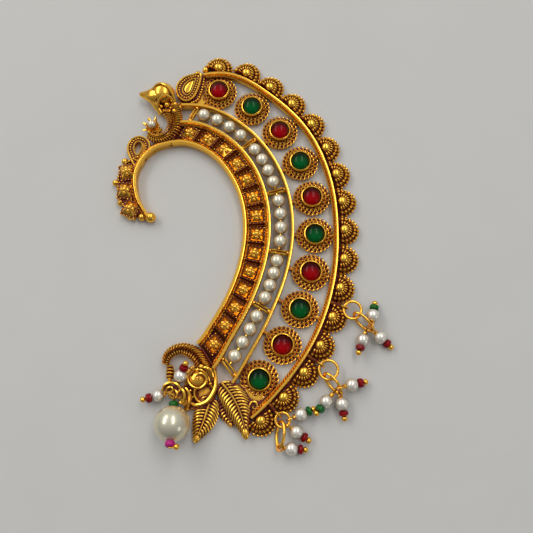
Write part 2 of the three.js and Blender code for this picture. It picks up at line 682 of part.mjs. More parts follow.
function rod(from, to, radius) {
  const length = from.distanceTo(to);
  const shape = new THREE.CylinderGeometry(radius, radius, length, 5).translate(0, length / 2, 0);
  const aim = new THREE.Quaternion().setFromUnitVectors(
    new THREE.Vector3(0, 1, 0),
    to.clone().sub(from).normalize(),
  );
  return solid(shape.applyQuaternion(aim).translate(from.x, from.y, from.z));
}

// A head pin: a loop round the holder's wire, a straight wire and an end ball.
function headPin(drop) {
  const { start, along, pearl, aim } = dropLine(drop);
  const across = along.clone().addScaledVector(aim, -along.dot(aim)).normalize();
  const up = new THREE.Vector3().crossVectors(across, aim);
  const basis = new THREE.Matrix4().makeBasis(aim, up, across).setPosition(start);
  const loop = solid(loopGeometry(PIN.loop, PIN.loop, PIN.loopWire).applyMatrix4(basis));
  const on = (far) => start.clone().addScaledVector(aim, far);
  const straightEnd = on(start.distanceTo(pearl) + drop.tail);
  const end = straightEnd.clone().add(new THREE.Vector3(...(drop.kink ?? [0, 0, 0])));
  const parts = [
    loop,
    rod(on(PIN.loop), straightEnd, PIN.wire),
    ball({ x: end.x, y: end.y, z: end.z, r: PIN.ball }),
  ];
  return join(drop.kink ? [...parts, rod(straightEnd, end, PIN.wire)] : parts);
}

// A pearl drilled along Y, the axis that is then laid along its pin.
function drilledPearlGeometry(r) {
  const low = Math.asin(DROP_PEARL.hole / r);
  const rows = Math.max(DROP_PEARL.fewestRows, Math.round(2 * r));
  const arc = Array.from({ length: rows + 1 }, (_, i) => {
    const turn = low + ((Math.PI - 2 * low) * i) / rows;
    return new THREE.Vector2(r * Math.sin(turn), -r * Math.cos(turn));
  });
  return new THREE.LatheGeometry([...arc, arc[0]], DROP_PEARL.sides);
}

const GOLD = { color: 0xc8902a, roughness: 0.32, metalness: 1 };
const RED = { color: 0x8c0410, roughness: 0.12, metalness: 0 };
const GREEN = { color: 0x04502a, roughness: 0.12, metalness: 0 };
const PEARL = { color: 0xeee8dc, roughness: 0.22, metalness: 0 };

const cuff = new THREE.Group();
cuff.position.set(-MIDDLE.x, -MIDDLE.y, 0);

function addPiece(name, geometry, look, parent = cuff) {
  const mesh = new THREE.Mesh(geometry, new THREE.MeshStandardMaterial(look));
  mesh.name = name;
  parent.add(mesh);
  return mesh;
}

addPiece("cuff_frame", geometryOf(cuffFrame()), GOLD);

for (let i = 0; i < GEMS.count; i++) {
  const { x, y } = gemPlace(i);
  const colour = i % 2 ? "green" : "red";
  const stone = addPiece(
    `stone_${colour}_${Math.floor(i / 2) + 1}`,
    cabochonGeometry(),
    colour === "red" ? RED : GREEN,
  );
  stone.position.set(x, y, COLLET.seat + STONE.lift);
}

for (let i = 0; i + 1 < BAR_ANGLES.length; i++) {
  addPiece(`pearl_string_${i + 1}`, geometryOf(pearlString(i)), PEARL);
}

const crownPearl = addPiece("crown_pearl", new THREE.SphereGeometry(CROWN_PEARL.r, 10, 6), PEARL);
crownPearl.position.set(CUP.x, CUP.y, CUP.top + CROWN_PEARL.r + CROWN_PEARL.lift);

for (const [name, { centre, long, short, halfLong, halfShort }] of Object.entries(holders)) {
  const hoop = addPiece(name, loopGeometry(halfLong, halfShort, RING_WIRE), GOLD);
  const across = new THREE.Vector3().crossVectors(long, short);
  hoop.quaternion.setFromRotationMatrix(new THREE.Matrix4().makeBasis(long, short, across));
  hoop.position.copy(centre);
}

DROPS.forEach((drop, i) => {
  const { pearl, aim } = dropLine(drop);
  addPiece(`headpin_${i + 1}`, geometryOf(headPin(drop)), GOLD);
  const bead = addPiece(`drop_pearl_${i + 1}`, drilledPearlGeometry(drop.r), PEARL);
  bead.quaternion.setFromUnitVectors(new THREE.Vector3(0, 1, 0), aim);
  bead.position.copy(pearl);
});

export default cuff;
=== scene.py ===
import math

import bmesh
import bpy
from mathutils import Matrix, Vector
from mathutils.bvhtree import BVHTree


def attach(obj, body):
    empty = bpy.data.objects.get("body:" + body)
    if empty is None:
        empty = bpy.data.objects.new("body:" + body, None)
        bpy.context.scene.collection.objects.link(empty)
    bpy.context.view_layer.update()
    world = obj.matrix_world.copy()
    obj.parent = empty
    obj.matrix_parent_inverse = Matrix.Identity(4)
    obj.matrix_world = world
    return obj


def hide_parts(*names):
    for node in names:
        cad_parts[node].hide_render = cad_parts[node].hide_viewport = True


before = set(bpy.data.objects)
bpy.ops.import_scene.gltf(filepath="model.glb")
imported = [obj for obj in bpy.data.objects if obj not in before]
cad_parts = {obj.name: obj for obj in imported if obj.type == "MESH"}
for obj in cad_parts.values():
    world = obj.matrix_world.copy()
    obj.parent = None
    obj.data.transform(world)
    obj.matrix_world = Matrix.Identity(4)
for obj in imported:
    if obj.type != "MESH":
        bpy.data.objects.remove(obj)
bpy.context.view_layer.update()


# The table
# The cuff lies on its back on a sheet of warm pale grey card. The camera looks down on it, leaning
# back a little. Two long soft lamps hang over it, in a room that is brighter overhead and far off.
class Value:
    """A socket of a finish that can be added to, multiplied and so on like a number."""

    def __init__(self, finish, socket):
        self.finish = finish
        self.socket = socket

    def maths(self, operation, first, second):
        return self.finish.node("ShaderNodeMath", {"operation": operation}, {0: first, 1: second})

    def __add__(self, other):
        return self.maths("ADD", self, other)

    __radd__ = __add__

    def __sub__(self, other):
        return self.maths("SUBTRACT", self, other)

    def __rsub__(self, other):
        return self.maths("SUBTRACT", other, self)

    def __mul__(self, other):
        return self.maths("MULTIPLY", self, other)

    __rmul__ = __mul__

    def within(self, low, high):
        return self.finish.node("ShaderNodeClamp", {}, {"Value": self, "Min": low, "Max": high})


class Finish:
    """One material: a surface, and the nodes that vary it."""

    def __init__(self, name, **surface):
        self.material = bpy.data.materials.new(name)
        self.material.use_nodes = True
        self.tree = self.material.node_tree
        self.surface = self.tree.nodes["Principled BSDF"]
        self.put(self.surface, {key.replace("_", " "): value for key, value in surface.items()})

    def put(self, node, sockets):
        for key, value in sockets.items():
            if isinstance(value, Value):
                self.tree.links.new(value.socket, node.inputs[key])
            else:
                node.inputs[key].default_value = value

    def node(self, kind, settings, sockets, out=0):
        node = self.tree.nodes.new(kind)
        for key, value in settings.items():
            setattr(node, key, value)
        self.put(node, sockets)
        return Value(self, node.outputs[out])

    def grain(self, scale, detail=3.0):
        """Cloudy noise, so many clouds to the metre."""
        place = self.node("ShaderNodeTexCoord", {}, {}, out="Object")
        return self.node("ShaderNodeTexNoise", {}, {"Vector": place, "Scale": scale, "Detail": detail})

    def share(self, attribute):
        """A share that a piece keeps at each of its points."""
        return self.node("ShaderNodeAttribute", {"attribute_name": attribute}, {}, out="Fac")

    def blend(self, share, colour, other):
        return self.node("ShaderNodeMix", {"data_type": "RGBA"}, {0: share, 6: colour, 7: other}, out=2)

    def bump(self, height, strength, distance):
        normal = self.node(
            "ShaderNodeBump", {}, {"Height": height, "Strength": strength, "Distance": distance}
        )
        self.put(self.surface, {"Normal": normal})


def stamp(shape, name="stamp"):
    """Keeps a finished shape as a mesh, so that many copies can be set."""
    mesh = bpy.data.meshes.new(name)
    shape.to_mesh(mesh)
    shape.free()
    return mesh


def made(name, shape, finish):
    mesh = stamp(shape, name)
    mesh.materials.append(finish.material)
    piece = bpy.data.objects.new(name, mesh)
    bpy.context.scene.collection.objects.link(piece)
    return piece


CARD_SIZE = 3.0
CARD_DROP = 0.00005
CARD_PALE = (0.61, 0.605, 0.585, 1)
CARD_DULL = (0.575, 0.57, 0.55, 1)
card_finish = Finish("pale_card", Roughness=0.75)
card_grain = card_finish.grain(60.0, 6.0)
card_finish.put(card_finish.surface, {"Base Color": card_finish.blend(card_grain, CARD_PALE, CARD_DULL)})
card_finish.bump(card_finish.grain(2500.0), 0.12, 0.00005)
card_shape = bmesh.new()
bmesh.ops.create_grid(card_shape, x_segments=1, y_segments=1, size=CARD_SIZE / 2)
bmesh.ops.translate(card_shape, vec=(0, 0, -CARD_DROP), verts=card_shape.verts)
card = made("card", card_shape, card_finish)

WALL_LIGHT = 0.38
CEILING_LIGHT = 0.66
NEAR_SHARE = 0.2
FAR_SHARE = 1.35
ROOM_COLOUR = (0.95, 0.97, 1.0, 1)
world = bpy.data.worlds.new("room")
world.use_nodes = True
room_nodes = world.node_tree.nodes
room_links = world.node_tree.links
looking = room_nodes.new("ShaderNodeTexCoord")
aims = room_nodes.new("ShaderNodeSeparateXYZ")
room_links.new(looking.outputs["Generated"], aims.inputs["Vector"])


def room_fade(axis, low, start, end):
    """A strength that changes from one side of the room to the other."""
    fade = room_nodes.new("ShaderNodeMapRange")
    for key, value in {"From Min": low, "To Min": start, "To Max": end}.items():
        fade.inputs[key].default_value = value
    room_links.new(aims.outputs[axis], fade.inputs["Value"])
    return fade.outputs["Result"]


strength = room_nodes.new("ShaderNodeMath")
strength.operation = "MULTIPLY"
room_links.new(room_fade("Z", 0.0, WALL_LIGHT, CEILING_LIGHT), strength.inputs[0])
room_links.new(room_fade("Y", -1.0, NEAR_SHARE, FAR_SHARE), strength.inputs[1])
room_nodes["Background"].inputs["Color"].default_value = ROOM_COLOUR
room_links.new(strength.outputs["Value"], room_nodes["Background"].inputs["Strength"])
bpy.context.scene.world = world
bpy.context.scene.view_settings.view_transform = "Standard"

LAMPS = [
    # name, place, wide, long, watts, colour
    ("left_lamp", (-0.52, 0.37, 0.58), 0.24, 0.80, 2.4, (1.0, 0.97, 0.92)),
    ("right_lamp", (0.22, 0.38, 0.74), 0.20, 0.80, 1.95, (1.0, 0.97, 0.92)),
    ("low_lamp", (0.55, -0.35, 0.30), 0.20, 0.20, 0.25, (1.0, 0.95, 0.88)),
]
for name, place, wide, long, watts, colour in LAMPS:
    light = bpy.data.lights.new(name, "AREA")
    light.shape = "RECTANGLE"
    light.size = wide
    light.size_y = long
    light.energy = watts
    light.color = colour
    lamp = bpy.data.objects.new(name, light)
    back = Vector(place).normalized()
    across = Vector((0, 1, 0)).cross(back).normalized()
    turn = Matrix((across, back.cross(across), back)).transposed().to_4x4()
    lamp.matrix_world = Matrix.Translation(place) @ turn
    bpy.context.scene.collection.objects.link(lamp)

CAMERA_TARGET = Vector((0.0040, -0.0055, 0.0))
CAMERA_REACH = Vector((0.0, -0.02857, 0.12374))
CAMERA_SETTINGS = {"sensor_width": 36.0, "lens": 38.6, "clip_start": 0.01}
camera_lens = bpy.data.cameras.new("camera")
for setting, value in CAMERA_SETTINGS.items():
    setattr(camera_lens, setting, value)
camera = bpy.data.objects.new("camera", camera_lens)
camera.location = CAMERA_TARGET + CAMERA_REACH
camera.rotation_euler = (-CAMERA_REACH).to_track_quat("-Z", "Y").to_euler()
bpy.context.scene.collection.objects.link(camera)
bpy.context.scene.camera = camera


# The rails
# Four cast strips that curve about one hub and carry everything else. A wire of two twisted strands
# runs beside three of them. All the frame is brass, gilt and then darkened in its hollows, and painted
# shade is laid into the same hollows.
MM = 0.001
MIDDLE = Vector((-4.0, 5.5, 0.0))
HUB = Vector((-31.0, 8.0, 0.0))
UP = Vector((0, 0, 1))
FIRST_ANGLE = -60.0
ANGLE_STEP = 15.0
RAIL_RADII = {
    "a": [30.4, 28.2, 26.9, 26.3, 26.2, 26.3, 26.2, 25.8, 24.2, 20.8],
    "b": [36.7, 33.5, 32.0, 31.5, 31.6, 31.8, 31.8, 31.2, 29.7, 26.6],
    "c": [42.1, 38.8, 37.0, 36.6, 36.8, 36.9, 36.6, 35.8, 34.4, 31.4],
    "d": [49.4, 48.4, 47.8, 47.1, 46.7, 47.0, 47.0, 45.8, 44.3, 38.3],
}
RAIL_ENDS = {"a": (-57, 66), "b": (-57, 68), "c": (-54.5, 70), "d": (-55.5, 67)}
RAIL_WIDTHS = {"a": 1.0, "b": 0.95, "c": 0.86, "d": 0.85}
RAIL_HEIGHT = 2.4
RAIL_SECTION = {"sides": 16, "boxy": 0.55}
RAIL_STEPS = 60
SIDE_WIRES = [
    # rail, how far off it, strand, middle height, twists
    ("a", 0.7, 0.24, 1.75, 46),
    ("b", -0.68, 0.24, 1.75, 50),
    ("d", -0.64, 0.26, 1.7, 76),
]
SIDE_WIRE_SHORT = 0.8
WEB_FOOT = 0.1
TWIST_STEPS = 7
STRAND_APART = 0.48


def curve(a, b, c, d, t):
    """A smooth way from b to c, with a before them and d after."""
    return 0.5 * (2 * b + (c - a) * t + (2 * a - 5 * b + 4 * c - d) * t**2 + (3 * b - a - 3 * c + d) * t**3)


def smooth_line(points, steps, closed=False):
    """Even steps along a smooth line through the points."""
    knots = [Vector((*point, 0.0)) if len(point) == 2 else Vector(point) for point in points]
    spans = len(knots) if closed else len(knots) - 1

    def knot(i):
        return knots[i % len(knots)] if closed else knots[max(0, min(len(knots) - 1, i))]

    line = []
    for i in range(steps if closed else steps + 1):
        span = min(int(i / steps * spans), spans - 1)
        line.append(curve(*(knot(span + k) for k in (-1, 0, 1, 2)), i / steps * spans - span))
    return line


def polar(angle, radius, z=0.0):
    turn = math.radians(angle)
    return HUB + Vector((radius * math.cos(turn), radius * math.sin(turn), z))


def rail_radius(rail, angle):
    """How far a rail runs from the hub at an angle."""
    radii = RAIL_RADII[rail]
    place = (angle - FIRST_ANGLE) / ANGLE_STEP
    span = max(0, min(int(place), len(radii) - 2))
    return curve(*(radii[max(0, min(len(radii) - 1, span + k))] for k in (-1, 0, 1, 2)), place - span)


def rail_line(rail, angles, off=0.0, z=0.0):
    """A line that keeps to a rail, or so far outside it."""
    return [polar(angle, rail_radius(rail, angle) + off, z) for angle in angles]


def between(start, end, steps):
    return [start + (end - start) * i / steps for i in range(steps + 1)]


def frames_along(points, width, height, closed, up):
    """One placing matrix for each section of a bar along the points."""
    places = []
    for i, point in enumerate(points):
        before = points[i - 1] if closed or i else point
        after = points[(i + 1) % len(points)] if closed or i + 1 < len(points) else point
        along = (after - before).normalized()
        side = along.cross(up).normalized()
        over = side.cross(along)
        share = i / (len(points) - 1)
        wide = width(share) if callable(width) else width
        tall = height(share) if callable(height) else height
        place = Matrix((side * wide / 2, over * tall / 2, along)).transposed().to_4x4()
        place.translation = point
        places.append(place)
    return places


def only(kind, parts):
    return [part for part in parts if isinstance(part, kind)]


def sweep(points, width, height=None, sides=8, closed=False, up=UP, boxy=1.0):
    """A bar drawn along the points. A boxy section, under 1, has flat sides and round corners."""
    places = frames_along(points, width, height or width, closed, up)
    shape = bmesh.new()
    ring = bmesh.ops.create_circle(shape, cap_ends=False, segments=sides, radius=1.0)["verts"]
    for vert in ring:
        for axis in (0, 1):
            vert.co[axis] = math.copysign(abs(vert.co[axis]) ** boxy, vert.co[axis])
    edges = shape.edges[:]
    if not closed:
        bmesh.ops.contextual_create(shape, geom=edges)
    bmesh.ops.transform(shape, matrix=places[0], verts=ring)
    stops = places[1:] + places[:1] if closed else places[1:]
    for start, end in zip(places, stops):
        drawn = bmesh.ops.extrude_edge_only(shape, edges=edges)["geom"]
        verts = only(bmesh.types.BMVert, drawn)
        edges = [edge for edge in only(bmesh.types.BMEdge, drawn) if edge.is_boundary]
        bmesh.ops.transform(shape, matrix=end @ start.inverted(), verts=verts)
    if closed:
        bmesh.ops.remove_doubles(shape, verts=shape.verts, dist=1e-4)
    else:
        bmesh.ops.contextual_create(shape, geom=edges)
    return shape


def taper(start, end):
    return lambda share: start + (end - start) * share


def swell(ends, middle):
    return lambda share: ends + (middle - ends) * math.sin(math.pi * share)


def twisted(work, points, strand, twists):
    """A wire of two strands, twisted together along the points."""
    steps = twists * TWIST_STEPS
    axis = smooth_line(points, steps)
    for half in (0.0, math.pi):
        line = []
        for i, place in enumerate(axis):
            along = (axis[min(i + 1, steps)] - axis[max(i - 1, 0)]).normalized()
            turn = half + math.tau * twists * i / steps
            side = along.cross(UP).normalized()
            line.append(place + (side * math.cos(turn) + UP * math.sin(turn)) * strand * STRAND_APART)
        work.add(sweep(line, strand, sides=5))


CREASE = math.radians(38.0)


class Work:
    """A piece as it is built up, in millimetres on the maker's drawing."""

    def __init__(self):
        self.whole = bmesh.new()

    def add(self, shape, place=None):
        """Adds a shape, or a copy of a stamp, moved to its place."""
        mesh = shape.copy() if isinstance(shape, bpy.types.Mesh) else stamp(shape)
        if place is not None:
            mesh.transform(place)
        self.whole.from_mesh(mesh)
        bpy.data.meshes.remove(mesh)

    def finish(self, name, finish, slot, *nodes):
        """Sets the piece on the cuff, in metres and with crisp edges, in place of the plain nodes."""
        whole = self.whole
        bmesh.ops.translate(whole, vec=-MIDDLE, verts=whole.verts)
        bmesh.ops.scale(whole, vec=(MM, MM, MM), verts=whole.verts)
        bmesh.ops.recalc_face_normals(whole, faces=whole.faces)
        for face in whole.faces:
            face.smooth = True
        for edge in whole.edges:
            edge.smooth = edge.calc_face_angle(0.0) < CREASE
        piece = made(name, whole, finish)
        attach(piece, "root")
        if nodes:
            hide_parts(*nodes)
        return piece


gilt_pieces = []


def gild(work, name, finish, *nodes):
    """Finishes a gilt piece. Most are part of the one frame."""
    gilt_pieces.append(work.finish(name, finish, "gilt_metal", *(nodes or ["cuff_frame"])))


# The polish brings out a deep yellow on every high place, and the hollows are a dark red brown:
# real patina, with painted shade laid into the same hollows. The share of each comes from the piece's
# own attribute, which is set at the end.
BRIGHT_GOLD = (1.0, 0.55, 0.07, 1)
WARM_GOLD = (0.82, 0.33, 0.025, 1)
# The dark red brown below is patina and painted shade together.
PATINA_AND_SHADE = (0.13, 0.009, 0.003, 1)


def gilt(name, patina_and_shade, rough, stain_and_shade=0.0):
    """The hollow share makes hollows dark, as patina and painted shade. A stain darkens a whole floor: patina
    where no cloth reaches, and painted shade under the parts on it.
    """
    finish = Finish(name)
    hollow = finish.share("hollow")
    mottle = finish.grain(900.0, 4.0)
    # Hollows and stained floors go dark: real patina, and painted shade where the parts close in.
    dark = ((hollow * patina_and_shade + (mottle - 0.5) * 0.3) * 3.0 - 0.95 + stain_and_shade).within(0.0, 1.0)
    warm = (hollow * 1.6 + mottle * 0.5 - 0.25).within(0.0, 1.0)
    colour = finish.blend(dark, finish.blend(warm, BRIGHT_GOLD, WARM_GOLD), PATINA_AND_SHADE)
    roughness = (rough + dark * 0.3 + (mottle - 0.5) * 0.12).within(0.05, 1.0)
    sockets = {"Base Color": colour, "Metallic": 1.0 - dark * 0.8, "Roughness": roughness}
    finish.put(finish.surface, sockets)
    finish.bump(finish.grain(2600.0, 2.0), 0.25, 0.00006)
    return finish


polished_gilt = gilt("polished_gilt", patina_and_shade=0.8, rough=0.17)
rails_work = Work()
for rail, ends in RAIL_ENDS.items():
    line = rail_line(rail, between(*ends, RAIL_STEPS), z=RAIL_HEIGHT / 2)
    rails_work.add(sweep(line, RAIL_WIDTHS[rail], RAIL_HEIGHT, **RAIL_SECTION))
for rail, off, strand, z, twists in SIDE_WIRES:
    start, end = RAIL_ENDS[rail]
    line = rail_line(rail, between(start + SIDE_WIRE_SHORT, end - SIDE_WIRE_SHORT, RAIL_STEPS), off, z)
    twisted(rails_work, line, strand, twists)
    web = [place + UP * (WEB_FOOT - z / 2) for place in line]
    rails_work.add(sweep(web, strand, z - 2 * WEB_FOOT, sides=6))
gild(rails_work, "rails", polished_gilt)


# The band of squares
# Fourteen squares stand in a row on a floor between the two inner rails. Each is cast as a blunt
# pyramid with four petals round a boss, and two thin ridges lie between it and the next.
FLOOR_HEIGHT = 0.7
SQUARES = {"count": 14, "start": 60.5, "step": -9.3, "drift": 0.05}
SQUARE = {
    "half": 1.9, "slope": 0.1, "soft": 0.14, "foot": 0.5, "step": 1.55, "peak_foot": 1.55, "peak_top": 0.4,
    "sunk": 0.02, "top": 2.6,
}
SQUARE_GRAINS = {
    # where: how far out, height, radius
    "corner": (2.28, 1.56, 0.24),
    "side": (1.7, 1.54, 0.17),
}
SIDE_GRAINS_APART = 0.75
PETAL = {"out": 0.74, "z": 2.1, "size": (0.5, 0.5, 0.36), "lean": 0.7}
BOSS = {"place": (0, 0, 2.5), "size": (0.46, 0.46, 0.34)}
RIDGES = {"apart": 0.42, "width": 0.28, "top": 1.9, "sunk": 0.3, "ends": (0.12, 0.88)}
BAND_ENDS = (-56.6, 66.6)
END_BAR = {"z": 1.1, "width": 0.5, "height": 2.0, "sides": 12}


def along_band(row, i):
    """The angle of one place in a row whose steps change a little as it goes."""
    return row["start"] + i * row["step"] + i * i * row["drift"]


def amid(first, second, angle, share=0.5, z=0.0, off=0.0):
    """A place part of the way from one rail to another, or turned a little about the hub from it."""
    near = rail_radius(first, angle)
    far = rail_radius(second, angle)
    return polar(angle + off, near + (far - near) * share, z)


def cross_bar(first, second, angle, z, width, height, sides):
    line = [amid(first, second, angle, share, z) for share in (0, 1)]
    return sweep(line, width, height, sides=sides, boxy=0.6)


def facing(place, angle):
    return Matrix.Translation(place) @ Matrix.Rotation(math.radians(angle), 4, "Z")


def turned(profile, steps):
    """A shape turned about Z from pairs of radius and height."""
    shape = bmesh.new()
    verts = [shape.verts.new((radius, 0.0, z)) for radius, z in profile]
    edges = [shape.edges.new(pair) for pair in zip(verts, verts[1:])]
    bmesh.ops.spin(
        shape, geom=verts + edges, axis=UP, cent=(0, 0, 0), angle=math.tau, steps=steps,
        use_merge=True, use_duplicate=False,
    )
    bmesh.ops.remove_doubles(shape, verts=shape.verts, dist=1e-4)
    return shape


def everything(shape):
    return shape.verts[:] + shape.edges[:] + shape.faces[:]


def rounded(shape, edges, by):
    bmesh.ops.bevel(
        shape, geom=edges, offset=by, segments=2, profile=0.5, affect="EDGES", material=-1,
        offset_type="OFFSET", clamp_overlap=True,
    )
    return shape


def raised(shape, faces, by):
    """Gives flat faces a thickness upwards, and tells what was drawn."""
    drawn = bmesh.ops.extrude_face_region(shape, geom=faces)["geom"]
    bmesh.ops.translate(shape, vec=(0, 0, by), verts=only(bmesh.types.BMVert, drawn))
    return drawn


def plate(outline, low, high, edge=0.0, grid=0.0):
    """A flat plate. Its rim can be rounded, and a grid gives a wide plate places to darken."""
    shape = bmesh.new()
    face = shape.faces.new([shape.verts.new((point[0], point[1], low)) for point in outline])
    drawn = raised(shape, [face], high - low)
    if edge:
        rounded(shape, only(bmesh.types.BMEdge, drawn), edge)
    for axis in (0, 1) if grid else ():
        reach = [point[axis] for point in outline]
        normal = [1 if k == axis else 0 for k in range(3)]
        place = min(reach) + grid
        while place < max(reach):
            middle = [place * part for part in normal]
            bmesh.ops.bisect_plane(shape, geom=everything(shape), plane_co=middle, plane_no=normal)
            place += grid
    return shape


def ball(radius, u, v):
    shape = bmesh.new()
    bmesh.ops.create_uvsphere(shape, u_segments=u, v_segments=v, radius=radius)
    return shape


def blob(place, size, turn=0.0, lean=0.0, u=16, v=10):
    """An egg of the given half-sizes, leaned about Y and then turned about Z."""
    shape = ball(1.0, u, v)
    turned_by = Matrix.Rotation(turn, 4, "Z") @ Matrix.Rotation(lean, 4, "Y")
    matrix = Matrix.Translation(place) @ turned_by @ Matrix.Diagonal((*size, 1.0))
    bmesh.ops.transform(shape, matrix=matrix, verts=shape.verts)
    return shape


GRANULE = stamp(ball(1.0, 8, 5))


def granule(work, place, radius, tall=None):
    """One grain of metal, melted on."""
    work.add(GRANULE, Matrix.Translation(place) @ Matrix.Diagonal((radius, radius, tall or radius, 1.0)))


def ring_of(radius, z, count, start=0.0):
    return [
        Vector((radius * math.cos(turn), radius * math.sin(turn), z))
        for turn in (start + math.tau * i / count for i in range(count))
    ]


def hoop(radius, width, height, count, sides):
    return sweep(ring_of(radius, 0.0, count), width, height, sides=sides, closed=True)


def pyramid(foot, top, low, high, cuts=0):
    """A blunt four-sided pyramid, from half-widths and heights. Cuts give its slopes places to darken."""
    shape = bmesh.new()
    place = Matrix.Translation((0, 0, (low + high) / 2)) @ Matrix.Rotation(math.pi / 4, 4, "Z")
    bmesh.ops.create_cone(
        shape, cap_ends=True, segments=4, radius1=foot * math.sqrt(2), radius2=top * math.sqrt(2),
        depth=high - low, matrix=place,
    )
    if cuts:
        bmesh.ops.subdivide_edges(shape, edges=shape.edges[:], cuts=cuts, use_grid_fill=True)
    return shape


square_work = Work()
base = pyramid(SQUARE["half"], SQUARE["half"] - SQUARE["slope"], SQUARE["foot"], SQUARE["step"])
square_work.add(rounded(base, base.edges[:], SQUARE["soft"]))
peak_low = SQUARE["step"] - SQUARE["sunk"]
square_work.add(pyramid(SQUARE["peak_foot"], SQUARE["peak_top"], peak_low, SQUARE["top"], cuts=4))
for quarter in range(4):
    turn = quarter * math.pi / 2
    out = Vector((math.cos(turn), math.sin(turn), 0))
    corner = Vector((math.cos(turn + math.pi / 4), math.sin(turn + math.pi / 4), 0))
    far, z, radius = SQUARE_GRAINS["corner"]
    granule(square_work, corner * far + UP * z, radius)
    petal_place = out * PETAL["out"] + UP * PETAL["z"]
    square_work.add(blob(petal_place, PETAL["size"], turn, PETAL["lean"]))
    far, z, radius = SQUARE_GRAINS["side"]
    for i in (-1, 0, 1):
        beside = Vector((-out.y, out.x, 0)) * SIDE_GRAINS_APART * i
        granule(square_work, out * far + beside + UP * z, radius)
square_work.add(blob(BOSS["place"], BOSS["size"]))
SQUARE_STAMP = stamp(square_work.whole)

cast_gilt = gilt("cast_gilt", patina_and_shade=1.25, rough=0.19, stain_and_shade=0.05)
# The floors' strong stain is patina and painted shade: they lie under and between the raised parts.
floor_gilt = gilt("floor_gilt", patina_and_shade=1.2, rough=0.42, stain_and_shade=0.75)
floor_work = Work()
band_work = Work()
band_angles = between(*RAIL_ENDS["a"], RAIL_STEPS)
band_outline = rail_line("a", band_angles) + rail_line("b", band_angles[::-1])
floor_work.add(plate(band_outline, 0.0, FLOOR_HEIGHT, grid=0.7))
ridge_z = (RIDGES["top"] + FLOOR_HEIGHT) / 2
ridge_height = RIDGES["top"] - FLOOR_HEIGHT + RIDGES["sunk"]
for i in range(SQUARES["count"]):
    angle = along_band(SQUARES, i)
    band_work.add(SQUARE_STAMP, facing(amid("a", "b", angle), angle))
    beside = (angle + along_band(SQUARES, i + 1)) / 2
    if beside > BAND_ENDS[0]:
        for off in (-RIDGES["apart"], RIDGES["apart"]):
            line = [amid("a", "b", beside, share, ridge_z, off) for share in between(*RIDGES["ends"], 4)]
            band_work.add(sweep(line, RIDGES["width"], ridge_height, sides=6))
for angle in BAND_ENDS:
    band_work.add(cross_bar("a", "b", angle, **END_BAR))
gild(floor_work, "band_floor", floor_gilt)
gild(band_work, "band_of_squares", cast_gilt)


# The bars across the pearl channel
# Six short bars join the two middle rails. Each is two half-round wires side by side, with a collar
# at each end that hides the joint, and the wires of the pearl strings run up to them.
BAR_ANGLES = [63.6, 37.6, 15.2, -8.6, -30.2, -52.6]
BAR = {"spread": 0.55, "z": 1.1, "arch": 0.5, "width": 0.6, "height": 0.9}
COLLAR = {"inset": 0.62, "half": 0.18, "z": 1.3, "width": 1.2, "height": 1.5}
bars_work = Work()
for angle in BAR_ANGLES:
    for off in (-BAR["spread"], BAR["spread"]):
        line = [
            amid("b", "c", angle, share, BAR["z"] + BAR["arch"] * math.sin(math.pi * share), off)
            for share in between(0.0, 1.0, 8)
        ]
        bars_work.add(sweep(line, BAR["width"], BAR["height"], sides=10))
    for radius in (rail_radius("b", angle) + COLLAR["inset"], rail_radius("c", angle) - COLLAR["inset"]):
        line = [polar(angle, radius + off, COLLAR["z"]) for off in (-COLLAR["half"], COLLAR["half"])]
        bars_work.add(sweep(line, COLLAR["width"], COLLAR["height"], sides=12))
gild(bars_work, "channel_bars", polished_gilt)


# The strung pearls
# Twenty pearls of moulded plastic with a pearl coat, four to a string. Each string is a thin gilt
# wire between two bars, with one pearl close beside the next.
STRING_PEARLS = 4
STRING_SHARE = 0.222
STRING_HEIGHT = 1.95
STRING_WIRE = 0.4
STRING_SHORT = 1.1
STRUNG_RADIUS = 1.5
PEARL_HOLE = 0.3


def pearl_finish(name, pale, cloudy, side):
    """Moulded plastic under a pearl coat. Its side colour is painted shade, sheen and reflection."""
    finish = Finish(name, Metallic=0.55, Coat_Weight=0.7, Coat_Roughness=0.06, IOR=1.8)
    cloud = finish.grain(260.0, 2.0)
    # The side share paints shade, sheen and reflection into the colour down each pearl's sides.
    colour = finish.blend(finish.share("side"), finish.blend(cloud, pale, cloudy), side)
    finish.put(finish.surface, {"Base Color": colour, "Roughness": 0.24 + cloud * 0.08})
    return finish


# Its dark brown side colour is painted shade and painted reflection of the gold round the pearls.
pearl_coat = pearl_finish("pearl_coat", (0.86, 0.80, 0.64, 1), (0.76, 0.69, 0.50, 1), (0.46, 0.29, 0.08, 1))


def shade(piece, name, middles, share_at):
    """Gives each point of a piece a share, told from where it lies on its own pearl or stone."""
    layer = piece.data.attributes.new(name, "FLOAT", "POINT")
    for vert in piece.data.vertices:
        place = vert.co / MM + MIDDLE
        middle = min(middles, key=lambda each: (place - each).length)
        layer.data[vert.index].value = max(0.0, min(1.0, share_at(place - middle)))


def finish_pearls(work, name, coat, middles, radius, *nodes):
    """Finishes drilled pearls, painted paler on top and darker or creamier down the sides, as painted shade,
    sheen and reflection.
    """
    pearls = work.finish(name, coat, "pearl", *nodes)
    # The share grows down the sides, where the painted shade, sheen and reflection go.
    shade(pearls, "side", middles, lambda place: 1.12 - 1.45 * place.z / radius)


def drilled_pearl(radius, hole):
    """A round pearl, drilled along Z, with a little lip round the hole."""
    low = math.asin(hole / radius)
    arc = [
        (radius * math.sin(turn), -radius * math.cos(turn))
        for turn in between(low, math.pi - low, 18)
    ]
    inside = [(hole * 0.8, arc[-1][1] - radius * 0.06), (hole * 0.8, arc[0][1] + radius * 0.06)]
    return turned(arc + inside + arc[:1], 32)


def laid_along(start, aim):
    """Turns Z to an aim, at a place."""
    return Matrix.Translation(start) @ aim.to_track_quat("Z", "Y").to_matrix().to_4x4()


def channel_place(angle):
    return amid("b", "c", angle, z=STRING_HEIGHT)


